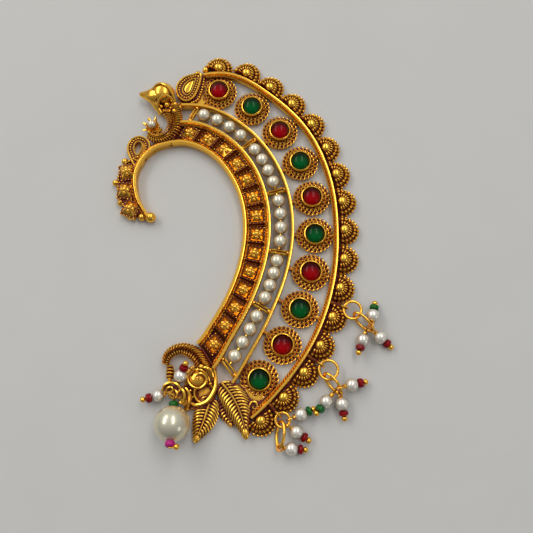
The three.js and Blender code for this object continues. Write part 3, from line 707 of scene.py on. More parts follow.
strung_work = Work()
strung_places = []
string_wires = Work()
STRUNG_PEARL = stamp(drilled_pearl(STRUNG_RADIUS, PEARL_HOLE))
for start, end in zip(BAR_ANGLES, BAR_ANGLES[1:]):
    line = [channel_place(angle) for angle in between(start - STRING_SHORT, end + STRING_SHORT, 12)]
    string_wires.add(sweep(line, STRING_WIRE, sides=8))
    for i in range(STRING_PEARLS):
        angle = (start + end) / 2 + (i - (STRING_PEARLS - 1) / 2) * STRING_SHARE * (end - start)
        aim = channel_place(angle - 0.5) - channel_place(angle + 0.5)
        strung_work.add(STRUNG_PEARL, laid_along(channel_place(angle), aim))
        strung_places.append(channel_place(angle))
strings = [f"pearl_string_{i + 1}" for i in range(len(BAR_ANGLES) - 1)]
finish_pearls(strung_work, "strung_pearls", pearl_coat, strung_places, STRUNG_RADIUS, *strings)
gild(string_wires, "string_wires", polished_gilt, *strings)


# The rosettes
# Ten discs of filigree, each a thin plate under two rows of wire loops that stand past it. The plate is
# painted dark, as patina and painted shade under the loops. A bar under each one runs from rail to
# rail, and a round-lipped collet stands on a ring of little posts.
GEMS = {"count": 10, "start": 59.8, "step": -12.6, "drift": 0.07}
DISC = [
    (0.0, 0.35), (3.85, 0.35), (3.95, 0.6), (3.85, 0.85), (3.6, 0.87), (3.35, 0.9), (3.1, 0.92), (2.85, 0.93),
    (2.6, 0.95), (0.0, 0.95),
]
LOOPS = [
    # how far out, loops, half-length, half-width, wire, height
    (3.62, 24, 0.46, 0.44, 0.25, 1.08),
    (2.88, 20, 0.34, 0.4, 0.23, 1.22),
]
LOOP_WIRE_HEIGHT = 0.26
LOOP_LEAN = 0.16
LOOP_STAGGER = 0.3
POSTS = {"out": 2.46, "z": 1.25, "count": 26, "radius": 0.15, "tall": 0.5}
ROSETTE_BAR = {"z": 0.5, "width": 0.9, "height": 0.8, "sides": 10}
COLLET = [
    (2.3, 0.9), (2.24, 1.3), (2.26, 1.75), (2.42, 1.95), (2.53, 2.2), (2.5, 2.42), (2.38, 2.56), (2.22, 2.6),
    (2.08, 2.52), (2.0, 2.34), (1.98, 2.1), (1.98, 1.5), (0.0, 1.5), (0.0, 0.9), (2.3, 0.9),
]

DISC_STAMP = stamp(turned(DISC, 72))
COLLET_STAMP = stamp(turned(COLLET, 44))
lace_work = Work()
for far, count, half_long, half_wide, wire, z in LOOPS:
    loop = stamp(hoop(1.0, wire / half_long, LOOP_WIRE_HEIGHT, count=12, sides=6))
    start = LOOP_STAGGER * far
    for i, place in enumerate(ring_of(far, z, count, start)):
        turn = Matrix.Rotation(start + math.tau * i / count, 4, "Z") @ Matrix.Rotation(LOOP_LEAN, 4, "Y")
        lace_work.add(loop, Matrix.Translation(place) @ turn @ Matrix.Diagonal((half_long, half_wide, 1, 1)))
for place in ring_of(POSTS["out"], POSTS["z"], POSTS["count"]):
    granule(lace_work, place, POSTS["radius"], POSTS["tall"])
LACE_STAMP = stamp(lace_work.whole)


def gem_place(i):
    angle = along_band(GEMS, i)
    return facing(amid("c", "d", angle), angle)


filigree_gilt = gilt("filigree_gilt", patina_and_shade=1.3, rough=0.2)
discs_work = Work()
rosettes_work = Work()
collets_work = Work()
for i in range(GEMS["count"]):
    discs_work.add(DISC_STAMP, gem_place(i))
    rosettes_work.add(LACE_STAMP, gem_place(i))
    rosettes_work.add(cross_bar("c", "d", along_band(GEMS, i), **ROSETTE_BAR))
    collets_work.add(COLLET_STAMP, gem_place(i))
gild(discs_work, "rosette_discs", floor_gilt)
gild(rosettes_work, "rosettes", filigree_gilt)
gild(collets_work, "collets", polished_gilt)


# The stones
# Ten low round domes of coloured glass, red and green in turn, cemented in the collets. A paler glow
# low down in each, where light would enter at the far side, is painted into the glass's colour, and so
# is painted shade under the lip.
STONE_RADIUS = 1.97
STONE_SEAT = 1.6
STONE_GIRDLE = 0.55
STONE_HEIGHT = 1.85
STONE_COLOURS = {
    # colour: deep, painted glow
    "red": ((0.04, 0.0, 0.001, 1), (0.56, 0.0, 0.004, 1)),
    "green": ((0.0, 0.01, 0.003, 1), (0.0, 0.17, 0.028, 1)),
}
STONE = stamp(turned(
    [(0.0, 0.0), (STONE_RADIUS, 0.0), (STONE_RADIUS, STONE_GIRDLE)]
    + [
        (STONE_RADIUS * math.cos(turn), STONE_GIRDLE + (STONE_HEIGHT - STONE_GIRDLE) * math.sin(turn))
        for turn in between(0.15, math.pi / 2, 12)
    ],
    44,
))


def stone_finish(name, deep, painted_glow):
    finish = Finish(name, IOR=1.22)
    cloud = finish.grain(500.0, 2.0)
    # The glow share mixes in a painted glow, lighter where light would pass through the glass.
    colour = finish.blend((finish.share("painted_glow") * (0.8 + cloud * 0.4)).within(0, 1), deep, painted_glow)
    finish.put(finish.surface, {"Base Color": colour, "Roughness": 0.02 + cloud * 0.03})
    return finish


def painted_glow_at(place):
    """Painted glow: pale towards the near edge, with painted shade at the far one and under the lip."""
    low = -place.y / STONE_RADIUS
    edge = place.xy.length / STONE_RADIUS
    return 0.42 + 0.62 * low - 0.45 * edge**3


for first, (colour, (deep, painted_glow)) in enumerate(STONE_COLOURS.items()):
    work = Work()
    middles = [gem_place(i).translation + UP * STONE_SEAT for i in range(first, GEMS["count"], 2)]
    for middle in middles:
        work.add(STONE, Matrix.Translation(middle))
    nodes = [f"stone_{colour}_{i + 1}" for i in range(len(middles))]
    glass = stone_finish(f"{colour}_glass", deep, painted_glow)
    stones = work.finish(f"{colour}_stones", glass, f"{colour}_stone", *nodes)
    shade(stones, "painted_glow", middles, painted_glow_at)


# The scalloped edge
# Sixteen half domes stand side by side outside the last rail, on a thin ledge that is painted dark,
# as patina and painted shade, where it shows between. Each has a boss at its flat side, then a row of
# long grains and two rows of round ones.
SCALLOPS = {"count": 16, "start": 63.9, "step": -8.15, "drift": 0.0195}
SCALLOP = {"half_width": 3.2, "reach": 3.75, "height": 2.5, "setback": 1.0, "core": 0.93}
SCALLOP_BOSS = {"place": (0.66, 0, 2.2), "size": (0.96, 1.1, 0.68)}
LEDGE = {"height": 0.7, "past": 0.4}
GRAIN_SPREAD = 172
GRAIN_LOWEST = 0.42
GRAIN_SLOPE = 0.62
GRAIN_ROWS = [
    # share of the way out, count, along the dome, across it, tall
    (0.5, 11, 0.52, 0.23, 0.42),
    (0.76, 11, 0.4, 0.4, 0.5),
    (0.97, 13, 0.4, 0.4, 0.54),
]


def half_dome(reach, half_width, height):
    """A quarter of an egg: flat at its back and below."""
    shape = blob((0, 0, 0), (reach, half_width, height), u=28, v=16)
    for normal in ((1, 0, 0), (0, 0, 1)):
        cut = bmesh.ops.bisect_plane(
            shape, geom=everything(shape), plane_co=(0, 0, 0), plane_no=normal, clear_inner=True, dist=1e-5
        )["geom_cut"]
        bmesh.ops.contextual_create(shape, geom=only(bmesh.types.BMEdge, cut))
    return shape


def on_dome(share, turn):
    return Vector((
        SCALLOP["reach"] * share * math.cos(turn), SCALLOP["half_width"] * share * math.sin(turn),
        SCALLOP["height"] * math.sqrt(max(0.0, 1 - share * share)),
    ))


DOME_STAMP = stamp(half_dome(*(SCALLOP[key] * SCALLOP["core"] for key in ("reach", "half_width", "height"))))
scallop_work = Work()
scallop_work.add(blob(SCALLOP_BOSS["place"], SCALLOP_BOSS["size"], u=20, v=12))
for share, count, along, across, tall in GRAIN_ROWS:
    for i in range(count):
        turn = math.radians(GRAIN_SPREAD * i / (count - 1) - GRAIN_SPREAD / 2)
        place = on_dome(share, turn)
        place.z = max(place.z, GRAIN_LOWEST)
        slope = Matrix.Rotation(turn, 4, "Z") @ Matrix.Rotation(math.asin(share) * GRAIN_SLOPE, 4, "Y")
        place = Matrix.Translation(place) @ slope @ Matrix.Diagonal((along, across, tall, 1))
        scallop_work.add(GRANULE, place)
SCALLOP_STAMP = stamp(scallop_work.whole)

dome_gilt = gilt("dome_gilt", patina_and_shade=1.4, rough=0.28, stain_and_shade=0.08)
ledge_work = Work()
domes_work = Work()
scallops_work = Work()
ledge_angles = between(*RAIL_ENDS["d"], RAIL_STEPS)
ledge_rim = rail_line("d", ledge_angles[::-1], SCALLOP["setback"] + LEDGE["past"])
ledge_work.add(plate(rail_line("d", ledge_angles) + ledge_rim, 0.0, LEDGE["height"], grid=0.9))
for i in range(SCALLOPS["count"]):
    angle = along_band(SCALLOPS, i)
    place = facing(polar(angle, rail_radius("d", angle) + SCALLOP["setback"]), angle)
    domes_work.add(DOME_STAMP, place)
    scallops_work.add(SCALLOP_STAMP, place)
gild(ledge_work, "scallop_ledge", floor_gilt)
gild(domes_work, "scallop_domes", dome_gilt)
gild(scallops_work, "scalloped_edge", cast_gilt)


# The hook
# The band turns over the ear in a hook. It is a plate with a polished inner rim, a wire beside the
# rim, three more squares, and grains of metal along its outer edge and round its tip.
HOOK_INNER = [
    (-21.1, 28.7), (-24.7, 27.7), (-27.1, 25.9), (-28.8, 23.2), (-29.5, 20.0), (-28.6, 15.4), (-26.2, 11.3),
]
HOOK_OUTER = [
    (-30.4, 12.0), (-32.8, 14.2), (-33.9, 17.6), (-33.9, 21.0), (-32.8, 23.6), (-31.0, 24.9), (-28.7, 26.0),
    (-26.9, 27.6), (-25.0, 29.7),
]
HOOK_HEIGHT = 1.3
HOOK_MIDDLE = Vector((-20.5, 20.0, 0.0))
HOOK_SQUARES = [
    # x, y, turn
    (-31.7, 21.7, 14), (-31.9, 17.2, -6), (-30.5, 12.9, -24),
]
HOOK_SQUARE_SCALE = (1.0, 1.08, 1.12, 1.0)
HOOK_BALLS = [
    # x, y, z, radius
    (-32.6, 24.6, 0.8, 0.8), (-34.4, 19.4, 0.8, 0.8), (-33.0, 14.6, 0.8, 0.8), (-30.6, 11.4, 0.9, 0.9),
    (-28.0, 11.2, 0.9, 0.9), (-26.0, 11.0, 1.2, 1.2),
]
OUTER_WIRE = {"stops": 27, "inset": 0.25, "sunk": 0.05, "width": 0.6, "height": 0.9}
OUTER_GRAINS = {"above": 0.35, "radius": 0.32}
RIM_WIDTH = 0.8
RIM_WIRE = {"off": 1.1, "z": 1.6, "strand": 0.26, "twists": 22}


def moved_out(line, by):
    """Moves a line of the hook away from the hook's middle."""
    spokes = [point - HOOK_MIDDLE for point in line]
    return [HOOK_MIDDLE + spoke * (1 + by / spoke.xy.length) for spoke in spokes]


def balls(work, rows, u=16, v=10):
    for x, y, z, radius in rows:
        work.add(blob((x, y, z), (radius,) * 3, u=u, v=v))


inner_line = smooth_line(HOOK_INNER, 30)
outer_line = smooth_line(HOOK_OUTER, 36)
hook_plate_work = Work()
hook_plate_work.add(plate(inner_line + outer_line, 0.0, HOOK_HEIGHT, grid=0.8))
gild(hook_plate_work, "hook_plate", floor_gilt)
hook_work = Work()
outer_wire = [
    point + UP * (HOOK_HEIGHT - OUTER_WIRE["sunk"])
    for point in moved_out(outer_line[:OUTER_WIRE["stops"]], -OUTER_WIRE["inset"])
]
hook_work.add(sweep(outer_wire, OUTER_WIRE["width"], OUTER_WIRE["height"], sides=8))
for place in outer_wire[1::2]:
    granule(hook_work, place + UP * OUTER_GRAINS["above"], OUTER_GRAINS["radius"])
for x, y, turn in HOOK_SQUARES:
    hook_work.add(SQUARE_STAMP, facing((x, y, 0), turn) @ Matrix.Diagonal(HOOK_SQUARE_SCALE))
balls(hook_work, HOOK_BALLS)
gild(hook_work, "hook", cast_gilt)
rim_work = Work()
rim_line = rail_line("a", (60, 62, 64)) + moved_out(inner_line[1:], RIM_WIDTH / 2)
rim_line = [point + UP * RAIL_HEIGHT / 2 for point in rim_line]
rim_work.add(sweep(rim_line, RIM_WIDTH, RAIL_HEIGHT, **RAIL_SECTION))
side_line = [point + UP * RIM_WIRE["z"] for point in moved_out(inner_line, RIM_WIRE["off"])]
twisted(rim_work, side_line, RIM_WIRE["strand"], RIM_WIRE["twists"])
gild(rim_work, "hook_rim", polished_gilt)


# The paisleys
# Two drop-shaped plates. The lower one is pierced, and the upper one is filled with a smooth drop.
# On each a wire follows the outline, then come a row of grains and a thinner wire. A shoulder plate
# with a row of grains joins the upper one to the rails.
LOW_PAISLEY = {
    "outside": [
        (-29.5, 22.6), (-31.6, 25.7), (-32.1, 28.0), (-31.2, 29.9), (-29.4, 30.6), (-27.6, 29.9),
        (-26.8, 28.5), (-27.2, 26.3),
    ],
    "inside": [(-29.7, 26.2), (-30.4, 27.2), (-30.3, 28.5), (-29.7, 29.2), (-28.9, 28.7), (-28.9, 27.4)],
}
HIGH_PAISLEY = {
    "outside": [
        (-15.5, 46.7), (-17.7, 46.4), (-19.8, 45.6), (-21.1, 44.0), (-21.4, 42.2), (-20.7, 40.4),
        (-19.0, 39.4), (-17.4, 40.1), (-16.4, 41.8), (-15.7, 44.2),
    ],
    "inside": [
        (-17.0, 45.1), (-18.2, 44.6), (-19.2, 43.5), (-19.6, 42.1), (-18.8, 41.1), (-17.9, 41.9),
        (-17.4, 43.4),
    ],
}
PAISLEY_STEPS = 48
PAISLEY_WIRES = [
    # share of the way in, width
    (0.1, 0.5), (0.9, 0.4),
]
PAISLEY_GRAINS = {"share": 0.48, "gap": 0.58, "radius": 0.27, "tall": 0.32}
PAISLEY_BALLS = [
    # x, y, z, radius
    (-16.4, 46.9, 0.85, 0.85), (-14.5, 48.0, 0.85, 0.85),
]
SHOULDER = [
    (-21.8, 38.6), (-18.2, 38.6), (-15.9, 38.3), (-13.9, 39.8), (-13.3, 43.5), (-13.2, 46.6), (-15.6, 47.2),
    (-17.2, 44.0), (-19.0, 40.5),
]
SHOULDER_GRAINS = [(-14.8, 46.4), (-14.9, 45.0), (-15.2, 43.2), (-15.6, 41.5), (-16.3, 40.0), (-17.6, 39.3)]
SHOULDER_WIRE = [(-20.4, 38.7, 1.1), (-18.0, 38.6, 1.2), (-15.6, 38.4, 1.3), (-14.0, 38.6, 1.3)]


def even(points, gap):
    """Places at an even spacing round a closed line."""
    loop = points + points[:1]
    places = []
    carried = 0.0
    for a, b in zip(loop, loop[1:]):
        length = (b - a).length
        while carried < length:
            places.append(a.lerp(b, carried / length))
            carried += gap
        carried -= length
    return places


def ring_plate(outside, inside, low, high):
    """A flat plate between two outlines of as many points."""
    shape = bmesh.new()
    edges = []
    for outline in (outside, inside):
        verts = [shape.verts.new((point.x, point.y, low)) for point in outline]
        edges += [shape.edges.new(pair) for pair in zip(verts, verts[1:] + verts[:1])]
    faces = bmesh.ops.bridge_loops(shape, edges=edges)["faces"]
    raised(shape, faces, high - low)
    return shape


def lay(work, points, steps, width, height=None, sides=8):
    """Lays a wire or bar smoothly through some points."""
    work.add(sweep(smooth_line(points, steps), width, height, sides=sides))


def paisley(work, drop, top, filled):
    outside = smooth_line(drop["outside"], PAISLEY_STEPS, closed=True)
    inside = smooth_line(drop["inside"], PAISLEY_STEPS, closed=True)
    work.add(ring_plate(outside, inside, 0.1, top))
    for share, width in PAISLEY_WIRES:
        line = [a.lerp(b, share) + UP * (top + 0.05) for a, b in zip(outside, inside)]
        work.add(sweep(line, width, 0.55, sides=8, closed=True))
    row = [a.lerp(b, PAISLEY_GRAINS["share"]) for a, b in zip(outside, inside)]
    for place in even(row, PAISLEY_GRAINS["gap"]):
        granule(work, place + UP * (top + 0.04), PAISLEY_GRAINS["radius"], PAISLEY_GRAINS["tall"])
    if filled:
        middle = sum(inside, Vector()) / len(inside)
        work.add(plate(inside, 0.2, top - 0.15))
        work.add(plate([point.lerp(middle, 0.22) for point in inside], 0.3, top + 0.25, edge=0.2))


paisleys_work = Work()
paisley(paisleys_work, LOW_PAISLEY, 1.5, False)
paisley(paisleys_work, HIGH_PAISLEY, 1.7, True)
balls(paisleys_work, PAISLEY_BALLS)
paisleys_work.add(plate(SHOULDER, 0.0, 1.0, grid=0.6))
for place in smooth_line(SHOULDER_GRAINS, 13):
    granule(paisleys_work, place + UP * 1.2, 0.34)
lay(paisleys_work, SHOULDER_WIRE, 14, 0.5, 0.8)
gild(paisleys_work, "paisleys", cast_gilt)


# The upper bird
# A bird's head with a short thick beak. Wires run over its crown, brow and beak, with balls behind
# them. Its neck is a flat band under two rows of ribs, and curls up at its end.
HEAD = {"place": Vector((-24.2, 41.0, 2.3)), "size": Vector((2.75, 2.65, 2.2))}
BEAK = [(-25.2, 40.7, 2.2), (-26.9, 40.6, 2.2), (-28.3, 40.85, 2.0), (-29.8, 41.2, 1.8)]
THROAT = [(-26.6, 40.2, 1.8), (-26.0, 38.9, 1.8), (-25.3, 37.6, 1.6), (-24.5, 36.3, 1.3)]
NECK = [
    (-22.6, 37.6, 1.3), (-21.6, 35.8, 1.1), (-21.4, 33.6, 1.1), (-22.0, 31.6, 1.1), (-23.6, 30.2, 1.1),
    (-25.6, 30.2, 1.0), (-27.3, 31.2, 0.9),
]
NECK_OUTSIDE = [
    (-20.0, 38.4), (-19.8, 36.5), (-19.7, 34.6), (-20.2, 32.0), (-21.7, 29.9), (-23.9, 28.8), (-26.3, 29.1),
    (-27.9, 30.7),
]
NECK_MIDDLE = [
    (-22.5, 37.2), (-21.9, 35.9), (-21.5, 34.3), (-21.7, 32.6), (-22.8, 30.9), (-24.2, 30.1), (-25.9, 30.1),
    (-27.3, 31.2),
]
NECK_INSIDE = [
    (-24.7, 36.8), (-23.9, 35.5), (-23.1, 34.1), (-23.3, 32.7), (-24.0, 31.7), (-24.8, 31.3), (-25.9, 31.3),
    (-26.9, 32.0),
]
NAPE = {"place": (-22.6, 37.9, 1.3), "size": (2.1, 1.7, 0.9)}
HEAD_WIRES = [
    # line, width
    ([(-26.5, 41.3, 3.5), (-25.6, 42.2, 4.1), (-24.5, 42.5, 4.3), (-23.2, 41.9, 4.5), (-22.1, 40.6, 4.1),
      (-21.4, 39.2, 3.5), (-21.2, 38.1, 2.9)], 0.6),
    ([(-25.3, 37.3, 2.6), (-24.9, 38.5, 3.5), (-24.1, 39.3, 4.1), (-23.1, 39.5, 4.2), (-22.1, 39.1, 3.8),
      (-21.6, 38.4, 3.2)], 0.66),
    ([(-29.4, 40.95, 2.5), (-28.2, 40.7, 3.1), (-26.9, 40.4, 3.6), (-26.1, 39.9, 3.7), (-25.7, 39.2, 3.5),
      (-26.1, 38.9, 3.2)], 0.34),
    ([(-23.9, 36.4, 2.6), (-23.2, 36.5, 2.8), (-22.4, 36.4, 2.6)], 0.6),
    ([(-21.3, 36.7, 2.5), (-20.7, 37.2, 2.5), (-20.2, 37.8, 2.2)], 0.45),
]
HEAD_BALLS = [
    # x, y, z, radius
    (-21.2, 38.0, 2.9, 0.55), (-23.2, 38.1, 2.4, 0.75), (-24.5, 37.6, 2.6, 0.45), (-21.4, 36.4, 2.6, 0.6),
    (-20.2, 37.6, 2.2, 0.5), (-22.3, 37.4, 2.2, 0.4),
]
CURL_GRAINS = [(-24.0, 31.0), (-25.2, 30.6), (-26.4, 30.8), (-27.2, 31.6)]
NECK_RIBS = [
    # inside, outside, count, top, foot, width, slant, steps
    (NECK_MIDDLE, NECK_OUTSIDE, 25, taper(3.1, 2.1), 0.9, 0.34, -0.05, 6),
    (NECK_INSIDE, NECK_MIDDLE, 19, taper(2.7, 1.9), 0.9, 0.28, 0.05, 5),
]
RIB_END = 0.06
RIB_ROUND = 0.6


def ribbed(work, inside, outside, count, top, foot, width, slant, steps):
    """Ribs laid side by side over a band, from one edge up and over to the other."""
    reach = 1.0 - abs(slant)
    first = max(0.0, -slant)
    near = smooth_line(inside, 200)
    far = smooth_line(outside, 200)
    for i in range(count):
        share = first + reach * i / (count - 1)
        a = near[int(round(200 * share))]
        b = far[int(round(200 * (share + slant)))]
        rise = top(share) - foot
        line = []
        for t in between(0.0, 1.0, steps):
            bulge = math.sin(math.pi * (RIB_END + (1 - 2 * RIB_END) * t)) ** RIB_ROUND
            line.append(a.lerp(b, t) + UP * (foot + rise * bulge))
        work.add(sweep(line, width, width * 1.2, sides=6))


neck_work = Work()
lay(neck_work, NECK, 60, taper(3.9, 1.3), taper(1.1, 0.9), 16)
gild(neck_work, "neck_band", floor_gilt)
bird_work = Work()
for row in NECK_RIBS:
    ribbed(bird_work, *row)
bird_work.add(sweep([point + UP * 2.1 for point in smooth_line(NECK_MIDDLE, 30)], 0.3, 0.5, sides=6))
bird_work.add(blob(HEAD["place"], HEAD["size"], u=32, v=20))
lay(bird_work, BEAK, 14, taper(5.2, 0.7), taper(4.1, 0.7), 18)
lay(bird_work, THROAT, 12, taper(2.6, 1.3), taper(3.0, 1.6), 12)
bird_work.add(blob(NAPE["place"], NAPE["size"], u=28, v=16))
for line, width in HEAD_WIRES:
    lay(bird_work, line, 20, width)
balls(bird_work, HEAD_BALLS, u=14, v=9)
for place in smooth_line(CURL_GRAINS, 8):
    granule(bird_work, place + UP * 1.85, 0.27)
gild(bird_work, "upper_bird", cast_gilt)


# The pearl cup
# A small cup on a stem at the end of the bird's neck. Five leaf spikes stand out of its wall, and a
# pearl is cemented in its mouth.
CUP = Vector((-26.4, 33.0, 0.0))
CUP_STEM = [(-24.6, 32.8, 0.9), (-25.6, 31.4, 0.9), (-26.4, 30.6, 0.9)]
CUP_WALL = [
    (0.0, 0.05), (0.9, 0.05), (1.15, 0.5), (1.4, 1.1), (1.55, 1.55), (1.45, 1.7), (1.2, 1.5), (0.0, 1.3),
]
CUP_GRAINS = {"out": 1.42, "z": 1.62, "count": 16, "radius": 0.2}
SPIKE_TURNS = [75, 117.5, 160, 202.5, 245]
SPIKE = [
    # how far out, height
    (0.8, 1.0), (1.7, 1.35), (2.6, 1.8),
]
CROWN_PLACE = CUP + UP * 2.7
CROWN_RADIUS = 0.98
cup_work = Work()
cup_work.add(turned(CUP_WALL, 28), Matrix.Translation(CUP))
lay(cup_work, CUP_STEM, 10, 0.9, 1.2, 10)
for degrees in SPIKE_TURNS:
    turn = math.radians(degrees)
    out = Vector((math.cos(turn), math.sin(turn), 0))
    line = [CUP + out * far + UP * z for far, z in SPIKE]
    lay(cup_work, line, 6, lambda share: 1.15 * (1 - share) ** 0.8 + 0.14, taper(0.8, 0.2))
for place in ring_of(CUP_GRAINS["out"], CUP_GRAINS["z"], CUP_GRAINS["count"]):
    granule(cup_work, CUP + place, CUP_GRAINS["radius"])
gild(cup_work, "pearl_cup", cast_gilt)
crown_work = Work()
crown_work.add(drilled_pearl(CROWN_RADIUS, 0.12), Matrix.Translation(CROWN_PLACE))
finish_pearls(crown_work, "crown_pearl_bead", pearl_coat, [CROWN_PLACE], CROWN_RADIUS, "crown_pearl")


# The lower bird
# A second bird curls the other way. Its crest is an arch with two rows of ribs, its head is a scroll
# of wire, and its body is a hollow cup with a thick lip. A stack of rings stands at its front, over a
# small leaf of curled wires.
ARCH_OUTSIDE = [
    (-22.0, -21.5), (-21.8, -19.4), (-20.3, -17.8), (-18.0, -17.1), (-15.7, -17.5), (-13.6, -18.7),
    (-12.4, -20.6), (-11.7, -22.1),
]
ARCH_MIDDLE = [
    (-21.5, -21.5), (-21.1, -20.0), (-20.0, -18.9), (-18.4, -18.3), (-16.8, -18.5), (-15.3, -19.3),
    (-14.2, -20.6), (-13.4, -21.9),
]
ARCH_INSIDE = [
    (-20.8, -21.7), (-20.4, -20.8), (-19.7, -20.0), (-18.6, -19.5), (-17.5, -19.6), (-16.4, -20.3),
    (-15.4, -21.3), (-14.7, -22.4),
]
ARCH = [
    (-21.5, -21.5, 0.9), (-21.0, -19.8, 1.0), (-19.8, -18.7, 1.1), (-18.0, -18.3, 1.1), (-16.1, -18.8, 1.1),
    (-14.4, -20.1, 1.1), (-13.1, -21.9, 1.1),
]
ARCH_RIBS = [
    # inside, outside, count, top, foot, width, slant, steps
    (ARCH_MIDDLE, ARCH_OUTSIDE, 23, taper(2.2, 2.8), 0.8, 0.34, 0.05, 6),
    (ARCH_INSIDE, ARCH_MIDDLE, 19, taper(2.0, 2.5), 0.9, 0.28, -0.05, 5),
]
BODY_PLATE = [
    (-16.7, -22.9), (-15.4, -21.6), (-12.2, -20.4), (-10.6, -22.6), (-10.4, -26.6), (-10.9, -29.2),
    (-13.6, -30.7), (-16.8, -30.9), (-18.1, -28.9), (-17.4, -26.0),
]
LOW_HEAD = {"place": (-14.4, -24.7, 1.8), "size": (2.1, 2.0, 1.5)}
BODY_HOLLOW = Vector((-13.0, -27.4, 0.0))
HOLLOW_WALL = [
    (1.85, 0.7), (2.3, 0.4), (2.5, 1.2), (2.42, 1.8), (2.15, 2.1), (1.9, 1.95), (1.75, 1.5), (1.5, 0.95),
    (0.8, 0.78), (0.0, 0.75), (0.0, 0.5), (1.85, 0.7),
]
LOW_SCROLLS = [
    # line, width
    ([(-16.3, -23.6, 2.4), (-16.3, -24.9, 3.0), (-15.4, -26.1, 3.2), (-13.9, -26.5, 3.2), (-12.7, -25.7, 3.2),
      (-12.4, -24.5, 3.3), (-13.2, -23.6, 3.6), (-14.2, -23.6, 3.8), (-14.7, -24.3, 3.9), (-14.2, -24.9, 3.9),
      (-13.6, -24.7, 3.9)], 0.5),
    ([(-15.7, -22.6, 2.6), (-14.6, -22.7, 3.3), (-13.4, -22.9, 3.4), (-12.3, -23.9, 3.0),
      (-11.8, -25.2, 2.4)], 0.42),
    ([(-11.3, -22.0, 1.7), (-10.6, -24.4, 2.0), (-10.8, -26.8, 2.1), (-12.3, -29.1, 2.0), (-14.6, -29.9, 1.8),
      (-16.2, -29.1, 1.6)], 0.85),
    ([(-13.5, -22.3, 2.9), (-12.4, -22.4, 3.1), (-11.5, -23.1, 2.8), (-11.1, -24.2, 2.4)], 0.7),
    ([(-15.6, -26.9, 2.6), (-16.4, -27.6, 2.5), (-15.9, -28.5, 2.4), (-15.1, -28.2, 2.3)], 0.5),
]
LOW_BALLS = [
    # x, y, z, radius
    (-13.6, -22.1, 2.9, 0.6), (-14.2, -24.5, 3.8, 0.4), (-15.8, -22.4, 2.6, 0.4), (-11.7, -25.6, 2.5, 0.4),
    (-16.6, -30.6, 1.0, 0.6),
]
CUP_RINGS = [
    # x, y, z, radius, wire
    (-20.4, -22.1, 1.1, 0.6, 0.42), (-20.3, -22.8, 1.2, 0.76, 0.42), (-20.3, -23.5, 1.3, 0.8, 0.42),
    (-20.3, -24.2, 1.4, 0.68, 0.4),
]
RING_LEAN = 0.35
STALK = [(-21.0, -21.4, 0.9), (-20.4, -22.8, 1.0), (-20.3, -24.6, 1.4), (-20.3, -26.4, 2.6)]
SCROLL_LEAF = [
    (-21.6, -26.9), (-20.9, -25.9), (-19.2, -25.9), (-17.4, -26.2), (-16.6, -27.8), (-18.2, -28.6),
    (-20.0, -27.7),
]
SCROLL_PROP = [(-17.4, -26.2), (-16.2, -26.4), (-16.0, -27.6), (-17.2, -27.9)]
LEAF_CURLS = [
    # line, width
    ([(-21.6, -27.2, 2.7), (-21.2, -26.0, 2.9), (-20.0, -25.4, 3.0), (-18.6, -25.7, 3.0), (-17.8, -26.6, 2.9),
      (-18.2, -27.4, 2.9)], 0.7),
    ([(-20.8, -27.3, 2.9), (-20.5, -26.5, 3.1), (-19.7, -26.3, 3.2), (-19.3, -26.9, 3.2),
      (-19.8, -27.3, 3.1)], 0.5),
    ([(-19.0, -26.7, 3.0), (-18.4, -27.6, 3.1), (-18.8, -28.5, 2.9)], 0.55),
    ([(-17.9, -26.4, 3.0), (-17.1, -27.2, 3.1), (-16.9, -28.4, 2.9), (-17.4, -29.4, 2.4),
      (-18.0, -29.3, 2.3)], 0.75),
    ([(-16.8, -26.4, 2.9), (-16.1, -27.3, 2.8), (-15.8, -28.7, 2.4), (-16.2, -30.0, 1.9),
      (-17.1, -30.7, 1.4)], 0.8),
]
core_work = Work()
lay(core_work, ARCH, 60, taper(1.5, 3.4), taper(0.9, 1.1), 16)
core_work.add(plate(BODY_PLATE, 0.0, 1.2, edge=0.25, grid=0.5))
core_work.add(plate(smooth_line(SCROLL_LEAF, 28, closed=True), 2.2, 2.7, edge=0.15, grid=0.4))
core_work.add(plate(SCROLL_PROP, 0.0, 2.5, edge=0.15))
gild(core_work, "lower_bird_core", floor_gilt)
low_work = Work()
for row in ARCH_RIBS:
    ribbed(low_work, *row)
low_work.add(sweep([point + UP * 1.7 for point in smooth_line(ARCH_MIDDLE, 30)], 0.28, 0.5, sides=6))
low_work.add(blob(LOW_HEAD["place"], LOW_HEAD["size"], u=28, v=18))
low_work.add(turned(HOLLOW_WALL, 40), Matrix.Translation(BODY_HOLLOW))
for line, width in LOW_SCROLLS:
    lay(low_work, line, 28, swell(width * 0.6, width * 1.1))
balls(low_work, LOW_BALLS, u=14, v=9)
for x, y, z, radius, wire in CUP_RINGS:
    upright = Matrix.Rotation(math.pi / 2 - RING_LEAN, 4, "X")
    low_work.add(hoop(radius, wire, wire, count=20, sides=8), Matrix.Translation((x, y, z)) @ upright)
lay(low_work, STALK, 16, swell(0.7, 1.1), swell(0.9, 1.2), 10)
for line, width in LEAF_CURLS:
    lay(low_work, line, 20, swell(width * 0.5, width))
gild(low_work, "lower_bird", cast_gilt)


# The leaves
# Three leaves spread from under the lower bird. Each is a thin plate with a raised midrib. Broad
# curved barbs run out of the rib and past the edge, which they notch, and the tip is a plain lobe.
LEAVES = [
    # base, tip, bow, width, barbs a side, top
    ((-11.6, -28.2), (-14.8, -37.4), 0.3, 4.9, 12, 1.5),
    ((-9.6, -25.2), (-4.2, -36.8), 1.2, 5.2, 15, 1.7),
    ((-9.2, -28.4), (-7.2, -34.4), 0.0, 3.6, 8, 1.0),
]
BARB_RUN = 0.15
BARB_FIRST = 0.02
BARB_LAST = 0.76


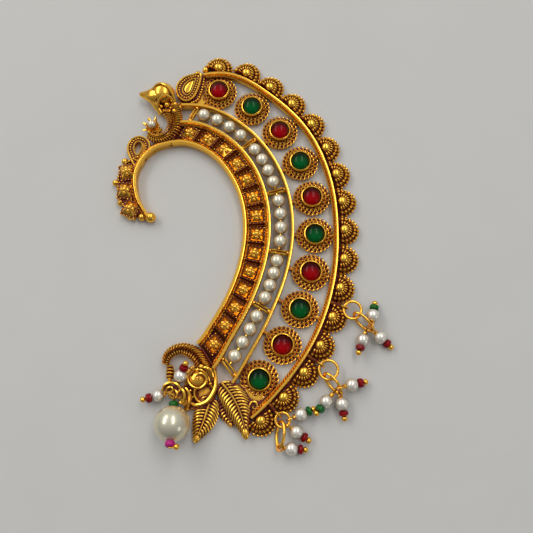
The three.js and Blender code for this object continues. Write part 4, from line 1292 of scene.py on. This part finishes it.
def leaf(blades, work, base, tip, bow, width, barbs, top):
    base = Vector((*base, 0))
    tip = Vector((*tip, 0))
    side = UP.cross(tip - base).normalized()

    def midrib(share):
        return base.lerp(tip, share) + side * 4 * bow * share * (1 - share)

    def half_width(share):
        along = 0.12 + 0.88 * min(1.0, share) ** 0.85
        return width / 2 * max(0.02, math.sin(math.pi * along)) ** 0.8

    shares = between(0.02, 0.99, 22)
    edges = [[midrib(s) + side * sign * half_width(s) for s in shares] for sign in (1, -1)]
    blades.add(plate(edges[0] + edges[1][::-1], 0.1, top - 0.35, edge=0.12, grid=0.4))
    rib = [midrib(s) + UP * (top + 0.05) for s in shares]
    work.add(sweep(rib, taper(0.6, 0.3), taper(0.7, 0.5), sides=8))
    for sign in (1, -1):
        for i in range(barbs):
            share = BARB_FIRST + (BARB_LAST - BARB_FIRST) * i / (barbs - 1)
            root = midrib(share) + UP * (top - 0.1)
            end_share = min(1.0, share + BARB_RUN)
            out = side * sign * half_width(end_share) * 1.03
            end = midrib(end_share) + out + UP * (top - 0.4)
            bend = midrib(share + BARB_RUN * 0.3) + out * 0.6 + UP * (top + 0.02)
            lay(work, [root, bend, end], 7, swell(0.38, 0.62), swell(0.4, 0.6))
    lobe = tip - midrib(0.85)
    size = ((tip - base).length * 0.11, width * 0.16, 0.6)
    work.add(blob(midrib(0.9) + UP * (top - 0.3), size, math.atan2(lobe.y, lobe.x)))


# The leaves' stain is patina and painted shade between the barbs.
leaf_gilt = gilt("leaf_gilt", patina_and_shade=2.0, rough=0.26, stain_and_shade=0.6)
blades_work = Work()
leaves_work = Work()
for row in LEAVES:
    leaf(blades_work, leaves_work, *row)
gild(blades_work, "leaf_blades", floor_gilt)
gild(leaves_work, "leaves", leaf_gilt)


# The end plate
# A small plate closes the gap between the leaves, the last rosette and the outer rail. A wire curls
# on it in a tight ring.
END_PLATE = [(-6.2, -25.4), (-4.6, -28.4), (-3.7, -32.4), (-2.2, -31.4), (0.6, -28.6), (-1.6, -27.4)]
END_CURL = [
    (-3.6, -32.0, 1.5), (-3.7, -30.4, 1.5), (-3.1, -29.3, 1.5), (-2.2, -29.4, 1.5), (-1.9, -30.3, 1.5),
    (-2.6, -30.7, 1.6), (-2.9, -30.1, 1.7),
]
END_WIRE = [(-6.0, -25.6, 1.2), (-4.8, -28.2, 1.3), (-4.0, -31.8, 1.3)]
end_work = Work()
end_work.add(plate(END_PLATE, 0.1, 1.2, edge=0.15, grid=0.6))
lay(end_work, END_CURL, 24, 0.5)
lay(end_work, END_WIRE, 12, 0.45)
gild(end_work, "end_plate", leaf_gilt)


# The eyes, rings and links
# A loop of wire stands between two scallops for each cluster of drops, and one on the lower bird.
# A round jump ring hangs in each, and a long link in each ring on the right.
EYE = {"radius": 0.8, "wire": 0.52, "z": 1.65}
EYE_ARM = {"width": 0.7, "height": 0.9, "sunk": 0.2}
CLUSTERS = [
    # angle, eye, ring, link's two ends
    (-20.0, 50.8, 1.9, (18.9, -10.7), (22.5, -14.4)),
    (-34.9, 51.7, 2.0, (12.3, -23.5), (15.4, -27.4)),
    (-50.0, 51.9, 1.5, (3.1, -33.1), (2.6, -38.4)),
]
LEFT_RING = {"centre": Vector((-19.3, -27.4, 1.1)), "radius": 1.05, "arm": Vector((-17.5, -27.4, 1.1))}
LINK = {"half_height": 1.3, "z": 1.8, "tilt": math.radians(56)}
RING_WIRE = 0.64
LEVEL = (Vector((1, 0, 0)), Vector((0, 1, 0)))


def loop_points(centre, long, short, half_long, half_short, count=32):
    return [
        centre + long * half_long * math.cos(turn) + short * half_short * math.sin(turn)
        for turn in (math.tau * i / count for i in range(count))
    ]


def upright_eye(work, centre, facing, root):
    """A hoop that stands on edge, on an arm from the metal behind it."""
    across = Vector((math.cos(math.radians(facing - 90)), math.sin(math.radians(facing - 90)), 0))
    points = loop_points(centre, across, UP, EYE["radius"], EYE["radius"], 20)
    work.add(sweep(points, EYE["wire"], sides=8, closed=True, up=UP.cross(across)))
    towards = (centre - root).normalized()
    arm = [root, centre - towards * EYE["radius"]]
    work.add(sweep(arm, EYE_ARM["width"], EYE_ARM["height"], sides=10))


eyes_work = Work()
holders = {}
for i, (angle, eye, ring, start, end) in enumerate(CLUSTERS):
    root = polar(angle, rail_radius("d", angle) + EYE_ARM["sunk"], EYE["z"])
    upright_eye(eyes_work, polar(angle, eye, EYE["z"]), angle + 90, root)
    holders[f"jump_ring_{i + 1}"] = (polar(angle, eye + ring, EYE["z"]), *LEVEL, ring, ring)
    start = Vector((*start, LINK["z"]))
    end = Vector((*end, LINK["z"]))
    long = (end - start).normalized()
    short = Vector((-long.y, long.x, 0)) * math.cos(LINK["tilt"]) + UP * math.sin(LINK["tilt"])
    holders[f"link_{i + 1}"] = ((start + end) / 2, long, short, (end - start).length / 2, LINK["half_height"])
left_radius = LEFT_RING["radius"]
upright_eye(eyes_work, LEFT_RING["centre"] + LEVEL[0] * left_radius, 90, LEFT_RING["arm"])
holders["jump_ring_4"] = (LEFT_RING["centre"], *LEVEL, left_radius, left_radius)
gild(eyes_work, "ring_eyes", polished_gilt)
for name, (centre, long, short, half_long, half_short) in holders.items():
    work = Work()
    points = loop_points(centre, long, short, half_long, half_short)
    work.add(sweep(points, RING_WIRE, sides=10, closed=True, up=long.cross(short)))
    gild(work, f"{name}_wire", polished_gilt, name)


# The drops
# Each drop is a soft gilt pin with a ball end. It runs through a glass seed bead and a pearl, bends
# into a loop round its ring or link, and is wrapped a few turns about itself below the loop.
PIN = {"wire": 0.36, "loop": 0.68, "loop_wire": 0.34, "ball": 0.62}
WRAP = {"turns": 3, "gap": 0.12, "radius": 0.36, "wire": 0.28, "shortest": 0.3, "longest": 0.9}
DROPS = [
    # holder, turn, pearl, radius, tail, bead, how far the pin's end is bent aside
    ("link_1", 52, (22.8, -11.2, 1.9), 1.4, 3.0, "green", None),
    ("link_1", 4, (24.3, -15.9, 1.4), 1.4, 3.1, "red", None),
    ("link_1", -52, (20.5, -16.4, 1.5), 1.4, 3.0, "red", None),
    ("link_2", 52, (17.8, -25.8, 1.9), 1.4, 3.2, "red", None),
    ("link_2", -8, (15.7, -29.7, 1.4), 1.4, 3.0, "red", None),
    ("link_2", -52, (12.4, -29.2, 1.5), 1.4, 3.2, "green", None),
    ("jump_ring_3", 8, (7.1, -31.8, 1.4), 1.4, 2.9, "green", None),
    ("jump_ring_3", -48, (6.2, -35.3, 1.4), 1.4, 3.0, "red", None),
    ("link_3", 8, (5.1, -38.6, 1.5), 1.4, 2.9, "red", None),
    ("jump_ring_4", 270, (-19.2, -33.6, 3.7), 3.65, 4.9, "magenta", (1.3, 0.1, -0.2)),
    ("jump_ring_4", 75, (-17.9, -24.0, 2.5), 1.45, 3.1, "red", None),
    ("jump_ring_4", 180, (-22.6, -28.0, 1.4), 1.3, 3.2, "red", None),
]
BEAD_WALL = [
    # radius, share of the way to the end
    (0.3, -1), (0.714, -1), (0.9486, -0.72), (1.02, 0), (0.9486, 0.72), (0.714, 1), (0.3, 1), (0.3, -1),
]
BEAD_LONGEST = 1.4
TOP_BEAD = {"colour": "green", "above": 0.62, "length": 1.15}
DROP_HOLE = 0.42


def wire_at(holder, at):
    """The point on a holder's wire, and which way the wire runs there."""
    centre, long, short, half_long, half_short = holders[holder]
    turn = math.radians(at)
    point = centre + long * half_long * math.cos(turn) + short * half_short * math.sin(turn)
    along = -long * half_long * math.sin(turn) + short * half_short * math.cos(turn)
    return point, along.normalized()


def seed_bead(length):
    """A short barrel with softened ends and a hole."""
    wall = [(radius, z * length / 2) for radius, z in BEAD_WALL]
    return turned(wall, 18)


def bead_glass(name, colour, other):
    finish = Finish(name, Roughness=0.1, IOR=1.35)
    finish.put(finish.surface, {"Base Color": finish.blend(finish.grain(700.0, 2.0), colour, other)})
    return finish


BEAD_GLASS = {
    "red": bead_glass("red_bead_glass", (0.30, 0.0, 0.004, 1), (0.14, 0.0, 0.002, 1)),
    "green": bead_glass("green_bead_glass", (0.0, 0.15, 0.012, 1), (0.0, 0.06, 0.006, 1)),
    "magenta": bead_glass("magenta_bead_glass", (0.55, 0.01, 0.22, 1), (0.35, 0.004, 0.14, 1)),
}
BEAD_SLOTS = {"red": "red_stone", "green": "green_stone", "magenta": "red_stone"}
# The side colours are painted shade and reflection; on the big pearl the creamy side is a painted sheen round
# its rim.
drop_coat = pearl_finish("drop_coat", (0.90, 0.86, 0.77, 1), (0.80, 0.75, 0.64, 1), (0.50, 0.40, 0.25, 1))
shell_coat = pearl_finish("shell_coat", (0.72, 0.69, 0.54, 1), (0.58, 0.54, 0.38, 1), (0.86, 0.72, 0.42, 1))


def bent_pin(start, along, pearl, radius, tail, kink):
    """A pin from its loop to its ball, with the wrap of its own wire below the loop."""
    aim = (pearl - start).normalized()
    across = (along - aim * along.dot(aim)).normalized()
    up = across.cross(aim)
    work = Work()
    loop = loop_points(start, aim, up, PIN["loop"], PIN["loop"], 24)
    work.add(sweep(loop, PIN["loop_wire"], sides=8, closed=True, up=across))
    end = pearl + aim * tail
    work.add(sweep([start + aim * PIN["loop"], end], PIN["wire"], sides=8))
    if kink:
        bend = [end - aim * 0.3, end + aim * 0.1, end + Vector(kink)]
        lay(work, bend, 8, PIN["wire"])
        end = end + Vector(kink)
    work.add(blob(end, (PIN["ball"],) * 3, u=18, v=12))
    room = (pearl - start).length - radius - PIN["loop"] - 0.2
    wrap_length = max(WRAP["shortest"], min(WRAP["longest"], room))
    first = start + aim * (PIN["loop"] + WRAP["gap"])
    coil = []
    for share in between(0.0, 1.0, WRAP["turns"] * 10):
        turn = WRAP["turns"] * math.tau * share
        side = across * math.cos(turn) + up * math.sin(turn)
        coil.append(first + aim * wrap_length * share + side * WRAP["radius"])
    work.add(sweep(coil, WRAP["wire"], sides=6, up=aim))
    return work


bead_works = {colour: Work() for colour in BEAD_GLASS}
for i, (holder, at, pearl, radius, tail, colour, kink) in enumerate(DROPS):
    start, along = wire_at(holder, at)
    pearl = Vector(pearl)
    aim = (pearl - start).normalized()
    pin_work = bent_pin(start, along, pearl, radius, tail, kink)
    gild(pin_work, f"pin_{i + 1}", polished_gilt, f"headpin_{i + 1}")

    pearl_work = Work()
    pearl_work.add(drilled_pearl(radius, DROP_HOLE), laid_along(pearl, aim))
    coat = shell_coat if kink else drop_coat
    finish_pearls(pearl_work, f"pearl_{i + 1}", coat, [pearl], radius, f"drop_pearl_{i + 1}")

    bead_length = min(BEAD_LONGEST, tail - radius - (0.1 if kink else PIN["ball"]))
    bead_place = pearl + aim * (radius + bead_length / 2 + 0.02)
    bead_works[colour].add(seed_bead(bead_length), laid_along(bead_place, aim))
    if kink:
        above = laid_along(pearl - aim * (radius + TOP_BEAD["above"]), aim)
        bead_works[TOP_BEAD["colour"]].add(seed_bead(TOP_BEAD["length"]), above)
for colour, work in bead_works.items():
    work.finish(f"{colour}_seed_beads", BEAD_GLASS[colour], BEAD_SLOTS[colour])


# The antique finish
# The whole frame is dipped to darken it and then buffed, so the dark stays where a cloth can't
# reach. Short looks out of each point of the surface tell how closed in it is. The dark that this
# share lays in is patina and painted shade together.
LOOKS = 14
LOOK_REACH = 0.0011
LOOK_START = 0.00004
LOOK_LOWEST = 0.22


def look_directions(count):
    """Directions spread evenly over a half sphere about Z."""
    golden = math.pi * (3 - math.sqrt(5))
    directions = []
    for i in range(count):
        z = LOOK_LOWEST + (1 - LOOK_LOWEST) * (i + 0.5) / count
        flat = math.sqrt(1 - z * z)
        directions.append(Vector((flat * math.cos(golden * i), flat * math.sin(golden * i), z)))
    return directions


surface = bmesh.new()
for piece in gilt_pieces:
    surface.from_mesh(piece.data)
tree = BVHTree.FromBMesh(surface)
surface.free()
looks = look_directions(LOOKS)
for piece in gilt_pieces:
    hollows = []
    for vert in piece.data.vertices:
        turn = vert.normal.to_track_quat("Z", "Y")
        start = vert.co + vert.normal * LOOK_START
        closed = 0.0
        for look in looks:
            reach = tree.ray_cast(start, turn @ look, LOOK_REACH)[3]
            if reach is not None:
                closed += 1 - 0.5 * reach / LOOK_REACH
        hollows.append(closed / len(looks))
    # This share paints patina and shade into the colour of every hollow.
    hollow = piece.data.attributes.new("hollow", "FLOAT", "POINT")
    hollow.data.foreach_set("value", hollows)
